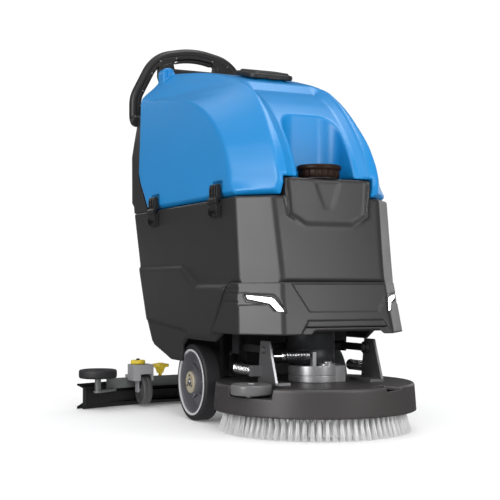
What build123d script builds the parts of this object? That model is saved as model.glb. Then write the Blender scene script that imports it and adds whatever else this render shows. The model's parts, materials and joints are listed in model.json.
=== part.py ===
from build123d import *
from math import cos, hypot, radians, sin, sqrt
import os

# Walk-behind wet dry floor scrubber with a disc brush. Millimetres.
# Everything is laid out from the point on the floor under the brush axis:
# +X to the machine's left as seen from the operator at the back, so that
# -Y is the front with the brush and +Y is the handle, and +Z is up.
# save() then moves each piece so that the origin is on the floor under the
# middle of the whole machine.

# ---- driving dimensions -------------------------------------------------
BRUSH_AXIS_Y = -279.0          # brush axis in the finished frame
DECK_R = 250.0                 # brush deck skirt at its lower edge
DECK_TOP_R = 245.0
DECK_BOTTOM_Z = 52.3
DECK_TOP_Z = 119.0
BODY_HALF_W = 229.5            # widest half width, at the bumper's foot
SEAM_HALF_W = 217.0            # half width at the bumper's top seam
PARTING_HALF_W = 215.3         # half width where the two tanks meet
BUMPER_FOOT_Z = 239.1
SEAM_Z = 363.7
PARTING_Z = 570.5
BODY_FOOT_Z = 155.0
WALL = 8.0
WHEEL_R = 100.7
WHEEL_Y = 294.0
WHEEL_FACE_X = 210.0
BLADE_HALF_W = 404.0           # squeegee half width
BLADE_R = 971.0                # plan radius of the squeegee's rear blade
BLADE_CENTRE_Y = -191.0        # centre of the squeegee's plan arc
GRIP_Y = 790.0                 # plane of the handle bow
GRIP_TOP_Z = 1093.5
GRIP_R = 16.5
RUNNING = 0.05                 # radial clearance of a shaft in its bore
SIDES = ((-1, "right"), (1, "left"))

os.makedirs("parts", exist_ok=True)
written = []


def save(piece, label):
    """Move a finished piece to the machine's own frame and write it."""
    piece.label = label
    moved = piece.moved(Location((0, BRUSH_AXIS_Y, 0)))
    moved.label = label
    export_step(moved, f"parts/{label}.step")
    written.append(label)


def plan_points(half_w, front_y, corner_x, corner_y, rear_y):
    """Corners of a horizontal slice: a rectangle with two cut front corners."""
    return [
        (-half_w, rear_y),
        (-half_w, front_y + corner_y),
        (-half_w + corner_x, front_y),
        (half_w - corner_x, front_y),
        (half_w, front_y + corner_y),
        (half_w, rear_y),
    ]


def stacked(levels, grow=0.0, rear_y=780.0, mode=Mode.ADD):
    """Ruled loft through slices given as (z, half_w, front_y, corner_x, corner_y)."""
    slices = []
    for z, half_w, front_y, corner_x, corner_y in levels:
        points = plan_points(half_w + grow, front_y - grow, corner_x, corner_y, rear_y)
        with BuildSketch(Plane.XY.offset(z)) as level:
            with BuildLine():
                Polyline(*points, close=True)
            make_face()
        slices.append(level.sketch)
    loft(slices, ruled=True, mode=mode)


def side_prism(points, half_w, mode=Mode.ADD, grow=0.0):
    """Extrude a side-view outline, given as (y, z), across the machine."""
    with BuildSketch(Plane.YZ) as outline:
        with BuildLine():
            Polyline(*points, close=True)
        make_face()
        if grow:
            offset(amount=grow, kind=Kind.INTERSECTION)
    extrude(outline.sketch, amount=half_w, both=True, mode=mode)


def block(x, y, z, mode=Mode.ADD):
    """A box given by its lowest and highest x, y and z."""
    centre = ((x[0] + x[1]) / 2, (y[0] + y[1]) / 2, (z[0] + z[1]) / 2)
    with Locations(centre):
        Box(x[1] - x[0], y[1] - y[0], z[1] - z[0], mode=mode)


def rod(start, end, radius, mode=Mode.ADD):
    """A round bar between two points that differ along one axis or more."""
    axis = Vector(*end) - Vector(*start)
    with BuildSketch(Plane(origin=start, z_dir=axis.normalized())) as section:
        Circle(radius)
    extrude(section.sketch, amount=axis.length, mode=mode)


def arc_band(inner_r, outer_r, half_w, z0, z1, mode=Mode.ADD):
    """A bar that follows the squeegee's plan arc between two radii."""
    with BuildSketch(Plane.XY.offset(z0)) as plan:
        with Locations((0, BLADE_CENTRE_Y)):
            Circle(outer_r)
            Circle(inner_r, mode=Mode.SUBTRACT)
        with Locations((0, BLADE_CENTRE_Y + outer_r)):
            Rectangle(2 * half_w, 520, mode=Mode.INTERSECT)
    extrude(plan.sketch, amount=z1 - z0, mode=mode)


def arc_y(radius, x):
    """y on the squeegee's plan arc of a radius, at x."""
    return BLADE_CENTRE_Y + sqrt(radius**2 - x**2)


# ---- outer slices of the body -------------------------------------------
# (z, half width, front y, corner x, corner y)
BODY_LEVELS = [
    (150.0, 223.0, -146.0, 81.0, 87.0),
    (SEAM_Z, SEAM_HALF_W, -101.0, 78.6, 79.0),
    (PARTING_Z, PARTING_HALF_W, -63.3, 70.0, 69.0),
]
BUMPER_LEVELS = [
    (180.0, BODY_HALF_W + 4.5, -140.5, 82.9, 87.8),
    (BUMPER_FOOT_Z, BODY_HALF_W, -127.8, 81.5, 85.0),
    (SEAM_Z, 220.0, -101.0, 78.6, 79.0),
]
CLADDING_LEVELS = [
    (150.0, BODY_HALF_W, -60.0, 80.0, 80.0),
    (BUMPER_FOOT_Z, BODY_HALF_W, -60.0, 80.0, 80.0),
    (420.0, 221.5, -60.0, 80.0, 80.0),
]
BUMPER_SIDE = [
    (-160, BUMPER_FOOT_Z),
    (58, 236),
    (87, 197),
    (115, 211),
    (124, 220),
    (49, 349),
    (15, SEAM_Z),
    (-160, SEAM_Z),
]
BODY_SIDE = [
    (-160, 246),
    (60, 246),
    (112, 216),
    (300, 216),
    (325, 200),
    (335, BODY_FOOT_Z),
    (407, BODY_FOOT_Z),
    (534, 189),
    (553, 201),
    (594, 260),
    (675, 414),
    (729, PARTING_Z),
    (-160, PARTING_Z),
]
CLADDING_SIDE = [
    (20, 246),
    (60, 246),
    (112, 216),
    (300, 216),
    (325, 200),
    (335, BODY_FOOT_Z),
    (409, BODY_FOOT_Z),
    (538, 187),
    (558, 199),
    (600, 259),
    (681, 411),
    (337, 411),
    (230, 358),
    (20, 358),
]
# the hollow under the body: slices with the rear y as a sixth value
HOLLOW_LEVELS = [
    (140.0, 214.0, -128.0, 80.0, 86.0, 538.0),
    (201.0, 213.0, -118.5, 79.0, 84.0, 543.0),
    (260.0, 211.5, -109.5, 78.0, 82.0, 584.0),
    (SEAM_Z, SEAM_HALF_W - WALL, -93.0, 76.0, 77.0, 638.0),
    (PARTING_Z - WALL, PARTING_HALF_W - WALL, -55.3, 68.0, 67.0, 716.0),
]
BATTERY_WELL_X = 178.0
BATTERY_WELL_Y = (100.0, 585.0)
BATTERY_FLOOR_Z = 300.0
FILLER_HALF_W = 120.0
FILLER_FRONT_Y = -78.0
FILLER_REAR_Y = 44.0
FILLER_TOP_Z = 615.0
CAP_Y = -22.0

# ---- solution tank: the grey lower shell --------------------------------
with BuildPart() as bumper_zone:
    side_prism(BUMPER_SIDE, 300, grow=1.0)
    stacked(BUMPER_LEVELS, grow=-6.0, mode=Mode.SUBTRACT)

with BuildPart() as cladding:
    stacked(CLADDING_LEVELS)
    side_prism(CLADDING_SIDE, 300, mode=Mode.INTERSECT)
    ridge = cladding.faces().filter_by(Axis.Z).group_by(Axis.Z)[-1]
    chamfer(ridge.edges().filter_by(Axis.Y), length=4)

with BuildPart() as solution_tank:
    stacked(BODY_LEVELS)
    side_prism(BODY_SIDE, 300, mode=Mode.INTERSECT)
    add(cladding.part)
    add(bumper_zone.part, mode=Mode.SUBTRACT)
    # raised filler panel on the front
    with BuildSketch(Plane.XZ.offset(-FILLER_FRONT_Y)):
        with BuildLine():
            Polyline(
                (-FILLER_HALF_W, FILLER_TOP_Z),
                (-111, 523),
                (-66, 496),
                (66, 496),
                (111, 523),
                (FILLER_HALF_W, FILLER_TOP_Z),
                close=True,
            )
        make_face()
    extrude(amount=-(FILLER_REAR_Y - FILLER_FRONT_Y))
    # hollow inside, open towards the floor
    slices = []
    for z, half_w, front_y, corner_x, corner_y, rear_y in HOLLOW_LEVELS:
        points = plan_points(half_w, front_y, corner_x, corner_y, rear_y)
        with BuildSketch(Plane.XY.offset(z)) as level:
            with BuildLine():
                Polyline(*points, close=True)
            make_face()
        slices.append(level.sketch)
    loft(slices, ruled=True, mode=Mode.SUBTRACT)
    # battery well hanging from the top
    block(
        (-BATTERY_WELL_X - WALL, BATTERY_WELL_X + WALL),
        (BATTERY_WELL_Y[0] - WALL, BATTERY_WELL_Y[1] + WALL),
        (BATTERY_FLOOR_Z - WALL, PARTING_Z - 1),
    )
    block(
        (-BATTERY_WELL_X, BATTERY_WELL_X),
        BATTERY_WELL_Y,
        (BATTERY_FLOOR_Z, PARTING_Z + 1),
        mode=Mode.SUBTRACT,
    )
    # filler hole through the panel's top
    with Locations((0, CAP_Y, FILLER_TOP_Z - 60)):
        Cylinder(
            40, 70, align=(Align.CENTER, Align.CENTER, Align.MIN), mode=Mode.SUBTRACT
        )
save(solution_tank.part, "solution_tank")


# ---- front bumper with lamps ---------------------------------------------
# the lamp's L in the plane of the cut corner: a level bar, then a slanted leg
LAMP_OUTLINE = [(-41, 6), (29, 0), (58, -34), (39, -33), (20, -14), (-36, -6)]
LAMP_DEPTH = 7.0


def lamp_plane(side):
    """Plane on a cut front corner of the bumper, with x towards the middle."""
    foot = Vector(side * (BODY_HALF_W - 40.75), -85.3, BUMPER_FOOT_Z)
    seam = Vector(side * (220.0 - 39.3), -61.5, SEAM_Z)
    across = Vector(-side * 81.5, -85.0, 0).normalized()
    upward = (seam - foot).normalized()
    normal = across.cross(upward) if side < 0 else upward.cross(across)
    if normal.Y > 0:
        normal = normal * -1
    return Plane(origin=foot + (seam - foot) * 0.72, x_dir=across, z_dir=normal)


def lamp_prism(side, grow, front, back, mode):
    """The lamp's outline extruded between two depths behind the corner face."""
    plane = lamp_plane(side)
    flip = 1 if plane.y_dir.Z > 0 else -1
    with BuildSketch(plane.offset(-back)) as outline:
        with BuildLine():
            Polyline(*[(px, flip * pz) for px, pz in LAMP_OUTLINE], close=True)
        make_face()
        if grow:
            offset(amount=grow, kind=Kind.INTERSECTION)
    extrude(outline.sketch, amount=back - front, mode=mode)


with BuildPart() as front_bumper:
    stacked(BUMPER_LEVELS, rear_y=400.0)
    side_prism(BUMPER_SIDE, 300, mode=Mode.INTERSECT)
    stacked(BUMPER_LEVELS, grow=-5.0, rear_y=401.0, mode=Mode.SUBTRACT)
    for side, _ in SIDES:
        lamp_prism(side, 4.0, -5.0, 20.0, Mode.SUBTRACT)
save(front_bumper.part, "front_bumper")

with BuildPart() as lamp_housings:
    for side, _ in SIDES:
        lamp_prism(side, 4.0, 0.0, 4.9, Mode.ADD)
    for side, _ in SIDES:
        lamp_prism(side, 0.0, -1.0, 2.5, Mode.SUBTRACT)
save(lamp_housings.part, "lamp_housings")

with BuildPart() as lamp_lenses:
    for side, _ in SIDES:
        lamp_prism(side, -0.2, 0.6, 2.5, Mode.ADD)
save(lamp_lenses.part, "lamp_lenses")

# ---- rear column and dashboard --------------------------------------------
TANK_REAR_Y = 700.0
DASH_FOOT_Z = 862.5
COLUMN_SIDE = [
    (617, PARTING_Z + 0.5),
    (729, PARTING_Z + 0.5),
    (736, 592),
    (754, 604),
    (770, 744),
    (764, 790),
    (750, DASH_FOOT_Z - 0.5),
    (TANK_REAR_Y + 3, DASH_FOOT_Z - 0.5),
    (TANK_REAR_Y + 3, 672),
    (690, 657),
]
COLUMN_WIDTHS = [(565.0, 214.5), (744.0, 208.0), (DASH_FOOT_Z - 0.5, 194.0)]
DASH_WIDTHS = [(DASH_FOOT_Z, 170.0), (905.0, 162.0), (1014.0, 104.0)]
DASH_SIDE = [
    (TANK_REAR_Y + 4, DASH_FOOT_Z),
    (TANK_REAR_Y + 4, 1007),
    (712, 1012),
    (720, 1010),
    (786, 944),
    (786, 912),
    (756, DASH_FOOT_Z),
]


def tapered(widths):
    """Ruled loft of full-width slices given as (z, half width)."""
    slices = []
    for z, half_w in widths:
        with BuildSketch(Plane.XY.offset(z)) as level:
            with Locations((0, 700)):
                Rectangle(2 * half_w, 300)
        slices.append(level.sketch)
    loft(slices, ruled=True)


with BuildPart() as rear_column:
    tapered(COLUMN_WIDTHS)
    side_prism(COLUMN_SIDE, 300, mode=Mode.INTERSECT)
    # service space behind the recovery tank
    block((-170, 170), (TANK_REAR_Y + 12, 742), (612, DASH_FOOT_Z + 1), Mode.SUBTRACT)
    # drain sockets in the rear wall
    for socket_x in (-70, 70):
        rod((socket_x, 730, 660), (socket_x, 790, 660), 22, Mode.SUBTRACT)
save(rear_column.part, "rear_column")

with BuildPart() as drain_sockets:
    for socket_x in (-70, 70):
        rod((socket_x, 742.5, 660), (socket_x, 776, 660), 21.5)
        rod((socket_x, 748, 660), (socket_x, 777, 660), 16, Mode.SUBTRACT)
save(drain_sockets.part, "drain_sockets")


def panel_plane(along, down=0.0):
    """Plane on the sloping operator panel; along is the distance down the slope."""
    step = sqrt(0.5)
    origin = (0, 720 + along * step - down * step, 1010 - along * step - down * step)
    return Plane(origin=origin, x_dir=(1, 0, 0), z_dir=(0, 1, 1))


KEY_X = -46.0
BUTTONS_X = (-20.0, 4.0)
KNOB_X = 38.0
CONTROL_ALONG = 60.0

with BuildPart() as control_panel:
    tapered(DASH_WIDTHS)
    side_prism(DASH_SIDE, 300, mode=Mode.INTERSECT)
    # hollow back, open to the column
    block((-150, 150), (712, 748), (DASH_FOOT_Z - 1, 925), Mode.SUBTRACT)
    # display recess
    with BuildSketch(panel_plane(26)):
        RectangleRounded(78, 34, 4)
    extrude(amount=-4, mode=Mode.SUBTRACT)
    # key barrel, button wells and knob hole
    with BuildSketch(panel_plane(CONTROL_ALONG)):
        with Locations((KEY_X, 0)):
            Circle(9)
        for button_x in BUTTONS_X:
            with Locations((button_x, 0)):
                Circle(9)
        with Locations((KNOB_X, 0)):
            Circle(4 + RUNNING)
    extrude(amount=-12, mode=Mode.SUBTRACT)
save(control_panel.part, "control_panel")

with BuildPart() as display_screen:
    with BuildSketch(panel_plane(26, 4)):
        RectangleRounded(77.6, 33.6, 4)
    extrude(amount=4.4)
save(display_screen.part, "display_screen")

with BuildPart() as key_switch:
    with BuildSketch(panel_plane(CONTROL_ALONG, 12)):
        with Locations((KEY_X, 0)):
            Circle(9 - RUNNING)
    extrude(amount=14)
    with BuildSketch(panel_plane(CONTROL_ALONG, -2)):
        with Locations((KEY_X, 0)):
            RectangleRounded(4, 16, 1.9)
    extrude(amount=16)
save(key_switch.part, "key_switch")

for number, button_x in enumerate(BUTTONS_X, start=1):
    with BuildPart() as button:
        with BuildSketch(panel_plane(CONTROL_ALONG, 7)):
            with Locations((button_x, 0)):
                Circle(8.6)
        extrude(amount=10)
        fillet(button.faces().sort_by(Axis((0, 0, 0), (0, 1, 1)))[-1].edges(), 1)
    save(button.part, f"panel_button_{number}")

with BuildPart() as flow_knob:
    with BuildSketch(panel_plane(CONTROL_ALONG, 11)):
        with Locations((KNOB_X, 0)):
            Circle(4)
    extrude(amount=12)
    with BuildSketch(panel_plane(CONTROL_ALONG, -0.6)):
        with Locations((KNOB_X, 0)):
            Circle(15)
            with PolarLocations(16.5, 6):
                Circle(3.2, mode=Mode.SUBTRACT)
    extrude(amount=14)
save(flow_knob.part, "flow_knob")

# ---- handle bow with its pillars and presence lever ------------------------
GRIP_CENTRE_Z = GRIP_TOP_Z - GRIP_R
GRIP_BEND_R = 250.0            # bend radius of the bow's crown
CROWN_Z = GRIP_CENTRE_Z + 4.4  # corner of the bow's line before it is rounded
SHOULDER = (130.0, 1056.0)
CROWN_CENTRE_Z = CROWN_Z - GRIP_BEND_R * hypot(1, (CROWN_Z - SHOULDER[1]) / SHOULDER[0])
BOW_HALF_W = 191.0
BOW_FOOT = (757.0, 852.0)
PILLAR_X = (62.0, 113.0)
PILLAR_Y = (776.0, 802.0)
LEVER_Y = 797.0
LEVER_GAP = 4.0
LEVER_HALF_W = 57.0
LEVER_R = GRIP_BEND_R - GRIP_R - LEVER_GAP
LEVER_PIN_Z = CROWN_CENTRE_Z + sqrt((LEVER_R - 2.1) ** 2 - LEVER_HALF_W**2)

with BuildPart() as handle_bow:
    with BuildLine() as bow_line:
        FilletPolyline(
            (-BOW_HALF_W, *BOW_FOOT),
            (-BOW_HALF_W, GRIP_Y, BOW_FOOT[1]),
            (-BOW_HALF_W, GRIP_Y, 940),
            (-SHOULDER[0], GRIP_Y, SHOULDER[1]),
            (0, GRIP_Y, CROWN_Z),
            (SHOULDER[0], GRIP_Y, SHOULDER[1]),
            (BOW_HALF_W, GRIP_Y, 940),
            (BOW_HALF_W, GRIP_Y, BOW_FOOT[1]),
            (BOW_HALF_W, *BOW_FOOT),
            radius=(24, 90, 60, GRIP_BEND_R, 60, 90, 24),
        )
    with BuildSketch(Plane(origin=bow_line.line @ 0, z_dir=(0, 1, 0))) as bow_section:
        Circle(GRIP_R)
    sweep(bow_section.sketch, path=bow_line.line)
    for side, _ in SIDES:
        with BuildSketch(Plane.XZ.offset(-PILLAR_Y[1])) as pillar:
            with BuildLine():
                Polyline(
                    (side * PILLAR_X[0], 944),
                    (side * (PILLAR_X[0] + 34), 944),
                    (side * PILLAR_X[1], 1000),
                    (side * PILLAR_X[1], 1050),
                    (side * PILLAR_X[0], 1066),
                    close=True,
                )
            make_face()
        extrude(pillar.sketch, amount=PILLAR_Y[1] - PILLAR_Y[0])
    for side, _ in SIDES:
        rod(
            (side * 60, LEVER_Y, LEVER_PIN_Z),
            (side * 66, LEVER_Y, LEVER_PIN_Z),
            2 + RUNNING,
            Mode.SUBTRACT,
        )
    # pillar feet are cut to the dashboard's slope and back
    side_prism([(700, 800), (700, 1031), (787, 944), (787, 800)], 150, Mode.SUBTRACT)
save(handle_bow.part, "handle_bow")

with BuildPart() as presence_lever:
    with BuildSketch(Plane.XZ.offset(-LEVER_Y - 3)) as lever_arc:
        with Locations((0, CROWN_CENTRE_Z)):
            Circle(LEVER_R)
            Circle(LEVER_R - 4.2, mode=Mode.SUBTRACT)
        with Locations((0, CROWN_CENTRE_Z + LEVER_R)):
            Rectangle(2 * LEVER_HALF_W, 60, mode=Mode.INTERSECT)
    extrude(lever_arc.sketch, amount=26)
    for side, _ in SIDES:
        rod(
            (side * (LEVER_HALF_W - 1), LEVER_Y, LEVER_PIN_Z),
            (side * 65, LEVER_Y, LEVER_PIN_Z),
            2,
        )
save(presence_lever.part, "presence_lever")

# ---- recovery tank: the blue upper shell -----------------------------------
TANK_LEVELS = [
    (PARTING_Z + 2.5, 215.3, -63.0, 70.0, 69.0),
    (620.0, 214.0, -72.0, 74.0, 113.0),
    (690.0, 212.0, -45.0, 76.0, 117.0),
    (765.0, 209.5, 12.0, 82.0, 138.0),
    (817.0, 208.0, 65.0, 86.0, 175.0),
    (847.0, 207.0, 106.0, 88.0, 224.0),
    (870.0, 206.5, 145.0, 90.0, 310.0),
    (900.0, 205.5, 230.0, 94.0, 415.0),
    (948.0, 163.0, 410.0, 54.0, 255.0),
    (1001.0, 112.0, 670.0, 8.0, 20.0),
]
TANK_SIDE = [
    (-90, PARTING_Z + 2.5),
    (608, PARTING_Z + 2.5),
    (681, 655),
    (690, 668),
    (TANK_REAR_Y, 690),
    (TANK_REAR_Y, 1003),
    (-90, 1003),
]
RECESS_HALF_W = 102.0
RECESS_FLOOR = [
    (-51, 560),
    (-51, 580),
    (-62, 616),
    (-34, 684),
    (21, 757),
    (73, 808),
    (116, 840),
    (190, 887),
]
POST_X = (119.0, 163.0)        # posts at the tank's rear shoulders
POST_Y = (645.0, 690.0)
POST_Z = (925.0, 998.0)
POST_R = 14.0
NOTCH_HALF_W = FILLER_HALF_W + 4.0
NOTCH_TOP_Z = FILLER_TOP_Z + 3.0
LID_Y = 285.0
LID_Z = 918.5                  # underside of the lid at its middle
LID_TILT = 14.0
LID_SIZE = (120.0, 116.0)
LID_HINGE_UP = 65.0            # hinge axis, up the slope from the lid's middle
LID_HINGE_H = 6.0              # and above the lid's underside
CAVITY_LEVELS = [
    (PARTING_Z + 9.0, 209.0, 58.0, 6.0, 6.0),
    (690.0, 206.0, 58.0, 22.0, 34.0),
    (765.0, 203.0, 62.0, 55.0, 100.0),
    (817.0, 202.0, 116.0, 62.0, 136.0),
    (847.0, 201.0, 157.0, 69.0, 186.0),
    (864.0, 200.0, 190.0, 80.0, 240.0),
    (893.0, 198.0, 262.0, 95.0, 393.0),
    (938.0, 150.0, 442.0, 50.0, 240.0),
    (985.0, 98.0, 645.0, 8.0, 20.0),
]
CAVITY_SIDE = [
    (50, PARTING_Z + 9),
    (600, PARTING_Z + 9),
    (672, 660),
    (682, 675),
    (TANK_REAR_Y - 7, 696),
    (TANK_REAR_Y - 7, 990),
    (50, 990),
]
LATCH_Y = (113.0, 551.0)
LATCH_W = 58.0
LATCH_PIVOT_X = -222.0
LATCH_PIVOT_Z = 542.0
LATCH_TOP_Z = 606.0
TANK_HINGE_X = 223.5
TANK_HINGE_Z = PARTING_Z + 1.0
TANK_HINGE_Y = (150.0, 500.0)


def lid_plane(height, up=0.0):
    """Plane parallel to the sloping lid, raised by a height and moved up the slope."""
    tilt = radians(LID_TILT)
    normal = Vector(0, -sin(tilt), cos(tilt))
    slope = Vector(0, cos(tilt), sin(tilt))
    origin = Vector(0, LID_Y, LID_Z) + normal * height + slope * up
    return Plane(origin=origin, x_dir=(1, 0, 0), z_dir=normal)


LID_AXIS = lid_plane(LID_HINGE_H, LID_HINGE_UP).origin

with BuildPart() as tank_cavity:
    stacked(CAVITY_LEVELS)
    side_prism(CAVITY_SIDE, 300, mode=Mode.INTERSECT)

with BuildPart() as recovery_tank:
    stacked(TANK_LEVELS)
    side_prism(TANK_SIDE, 300, mode=Mode.INTERSECT)
    # recessed middle panel between the two front ribs
    side_prism(RECESS_FLOOR + [(60, 930), (-130, 700), (-130, 560)], RECESS_HALF_W, mode=Mode.SUBTRACT)
    # deep channel over the filler cap
    with BuildSketch(Plane.XZ.offset(100)) as channel:
        with Locations((0, 690)):
            RectangleRounded(146, 240, 60)
        with Locations((0, 600)):
            Rectangle(146, 120)
    extrude(channel.sketch, amount=-150, mode=Mode.SUBTRACT)
    # notch over the raised filler panel
    block((-NOTCH_HALF_W, NOTCH_HALF_W), (-120, 50), (560, NOTCH_TOP_Z), Mode.SUBTRACT)
    # round-topped posts at the rear shoulders
    for side, _ in SIDES:
        with BuildPart(mode=Mode.PRIVATE) as post:
            block(sorted((side * POST_X[0], side * POST_X[1])), POST_Y, POST_Z)
            fillet(post.edges().filter_by(Axis.Y).group_by(Axis.Z)[-1], POST_R)
        add(post.part)
    # collar of the cleaning opening
    with BuildSketch(lid_plane(-0.3)) as collar:
        RectangleRounded(104, 100, 34)
    extrude(collar.sketch, amount=-16)
    add(tank_cavity.part, mode=Mode.SUBTRACT)
    with BuildSketch(lid_plane(5)) as mouth:
        RectangleRounded(92, 88, 28)
    extrude(mouth.sketch, amount=-45, mode=Mode.SUBTRACT)
    # ears and pin of the lid hinge
    for side, _ in SIDES:
        ear_x = sorted((side * 21.0, side * 28.0))
        rod((ear_x[0], LID_AXIS.Y, LID_AXIS.Z), (ear_x[1], LID_AXIS.Y, LID_AXIS.Z), 5)
        block(ear_x, (LID_AXIS.Y - 5, LID_AXIS.Y + 5), (925, LID_AXIS.Z))
    rod((-21, LID_AXIS.Y, LID_AXIS.Z), (21, LID_AXIS.Y, LID_AXIS.Z), 2.5)
    # recesses for the latches
    for latch_y in LATCH_Y:
        block(
            (-230, -207),
            (latch_y - LATCH_W / 2 - 2, latch_y + LATCH_W / 2 + 2),
            (560, LATCH_TOP_Z + 7),
            Mode.SUBTRACT,
        )
save(recovery_tank.part, "recovery_tank")

with BuildPart() as tank_lid:
    with BuildSketch(lid_plane(0)) as lid_outline:
        RectangleRounded(*LID_SIZE, 40)
    extrude(lid_outline.sketch, amount=14)
    fillet(tank_lid.faces().sort_by(Axis((0, 0, 0), (0, -0.24, 0.97)))[-1].edges(), 4)
    rod((-20.5, LID_AXIS.Y, LID_AXIS.Z), (20.5, LID_AXIS.Y, LID_AXIS.Z), 5)
    with BuildSketch(lid_plane(2, LID_HINGE_UP - 8)) as hinge_web:
        Rectangle(41, 14)
    extrude(hinge_web.sketch, amount=6)
    rod(
        (-21, LID_AXIS.Y, LID_AXIS.Z),
        (21, LID_AXIS.Y, LID_AXIS.Z),
        2.5 + RUNNING,
        Mode.SUBTRACT,
    )
save(tank_lid.part, "tank_lid")

# basket that catches debris under the cleaning opening
with BuildPart() as debris_basket:
    with BuildSketch(lid_plane(-2)) as basket_rim:
        RectangleRounded(91, 87, 27.5)
        RectangleRounded(82, 78, 23, mode=Mode.SUBTRACT)
    extrude(basket_rim.sketch, amount=-20)
    with BuildSketch(lid_plane(-22)) as basket_wall:
        RectangleRounded(86, 82, 25)
        RectangleRounded(82, 78, 23, mode=Mode.SUBTRACT)
    extrude(basket_wall.sketch, amount=-60)
    with BuildSketch(lid_plane(-82)) as basket_floor:
        RectangleRounded(86, 82, 25)
        with GridLocations(14, 14, 5, 4):
            Circle(3.5, mode=Mode.SUBTRACT)
    extrude(basket_floor.sketch, amount=-3)
save(debris_basket.part, "debris_basket")

# ---- side hinge of the recovery tank ---------------------------------------
with BuildPart() as tank_hinge_upper:
    for hinge_y in TANK_HINGE_Y:
        block((215.6, 218.6), (hinge_y - 30, hinge_y + 30), (574, 606))
        block((215, 219), (hinge_y - 10.4, hinge_y + 10.4), (573, 580), Mode.SUBTRACT)
        for end in (-1, 1):
            y0, y1 = sorted((hinge_y + end * 30, hinge_y + end * 10.4))
            block((218.5, TANK_HINGE_X), (y0, y1), (574, TANK_HINGE_Z + 6))
            rod((TANK_HINGE_X, y0, TANK_HINGE_Z), (TANK_HINGE_X, y1, TANK_HINGE_Z), 6)
        rod(
            (TANK_HINGE_X, hinge_y - 31, TANK_HINGE_Z),
            (TANK_HINGE_X, hinge_y + 31, TANK_HINGE_Z),
            3 + RUNNING,
            Mode.SUBTRACT,
        )
save(tank_hinge_upper.part, "tank_hinge_upper")

with BuildPart() as tank_hinge_lower:
    for hinge_y in TANK_HINGE_Y:
        block((217, 219.8), (hinge_y - 30, hinge_y + 30), (532, 562))
        block((217, TANK_HINGE_X), (hinge_y - 10, hinge_y + 10), (560, TANK_HINGE_Z))
        rod(
            (TANK_HINGE_X, hinge_y - 10, TANK_HINGE_Z),
            (TANK_HINGE_X, hinge_y + 10, TANK_HINGE_Z),
            6,
        )
        rod(
            (TANK_HINGE_X, hinge_y - 31, TANK_HINGE_Z),
            (TANK_HINGE_X, hinge_y + 31, TANK_HINGE_Z),
            3,
        )
save(tank_hinge_lower.part, "tank_hinge_lower")

# ---- latches on the other side ----------------------------------------------
with BuildPart() as latch_bases:
    for latch_y in LATCH_Y:
        block((-219, -217), (latch_y - 29, latch_y + 29), (524, 560))
        for end in (-1, 1):
            y0, y1 = sorted((latch_y + end * 29, latch_y + end * 24))
            block((-228, -219), (y0, y1), (534, 550))
        rod(
            (LATCH_PIVOT_X, latch_y - 25, LATCH_PIVOT_Z),
            (LATCH_PIVOT_X, latch_y + 25, LATCH_PIVOT_Z),
            2.5,
        )
save(latch_bases.part, "latch_bases")

for latch_y, place in zip(LATCH_Y, ("front", "rear")):
    with BuildPart() as latch:
        block((-227, -219.5), (latch_y - 23, latch_y + 23), (LATCH_PIVOT_Z, 572))
        block((-225, -214), (latch_y - 23, latch_y + 23), (572, LATCH_TOP_Z))
        block((-229, -224), (latch_y - 10, latch_y + 10), (580, LATCH_TOP_Z - 6))
        rod(
            (LATCH_PIVOT_X, latch_y - 23, LATCH_PIVOT_Z),
            (LATCH_PIVOT_X, latch_y + 23, LATCH_PIVOT_Z),
            5 - 2.4,
        )
        rod(
            (LATCH_PIVOT_X, latch_y - 24, LATCH_PIVOT_Z),
            (LATCH_PIVOT_X, latch_y + 24, LATCH_PIVOT_Z),
            2.5 + RUNNING,
            Mode.SUBTRACT,
        )
    save(latch.part, f"latch_{place}")

# ---- filler neck and cap ------------------------------------------------------
with BuildPart() as filler_neck:
    rod((0, CAP_Y, 575), (0, CAP_Y, FILLER_TOP_Z), 39.5)
    rod((0, CAP_Y, FILLER_TOP_Z), (0, CAP_Y, 619), 48)
    rod((0, CAP_Y, 570), (0, CAP_Y, 620), 34, Mode.SUBTRACT)
save(filler_neck.part, "filler_neck")

with BuildPart() as filler_cap:
    rod((0, CAP_Y, 619.3), (0, CAP_Y, 640), 50)
    with Locations((0, CAP_Y, 0)):
        with PolarLocations(51, 12):
            Cylinder(
                4, 640, align=(Align.CENTER, Align.CENTER, Align.MIN), mode=Mode.SUBTRACT
            )
    rod((0, CAP_Y, 637), (0, CAP_Y, 650), 55)
    rod((0, CAP_Y, 606), (0, CAP_Y, 620), 33.5)
    fillet(filler_cap.faces().sort_by(Axis.Z)[-1].edges(), 4)
save(filler_cap.part, "filler_cap")

# ---- chassis --------------------------------------------------------------------
RAIL_X = (150.0, 172.0)
RAIL_Z = (252.0, 284.0)
LIFT_PIVOT = (130.0, 200.0)      # y, z of the deck arms' pivot on the chassis
LIFT_PIN = (-17.0, 200.0)        # y, z of the deck's pins
ARM_PIVOT = (548.0, 165.0)       # y, z of the squeegee arm's pivot
AXLE_R = 12.0
CASTER_X = 100.0
CASTER_Y = 512.0
CASTER_TRAIL = 24.0
CASTER_R = 40.0
PEDAL_PIVOT = (575.0, 178.0)
PEDAL_X = (154.0, 168.0)

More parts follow.
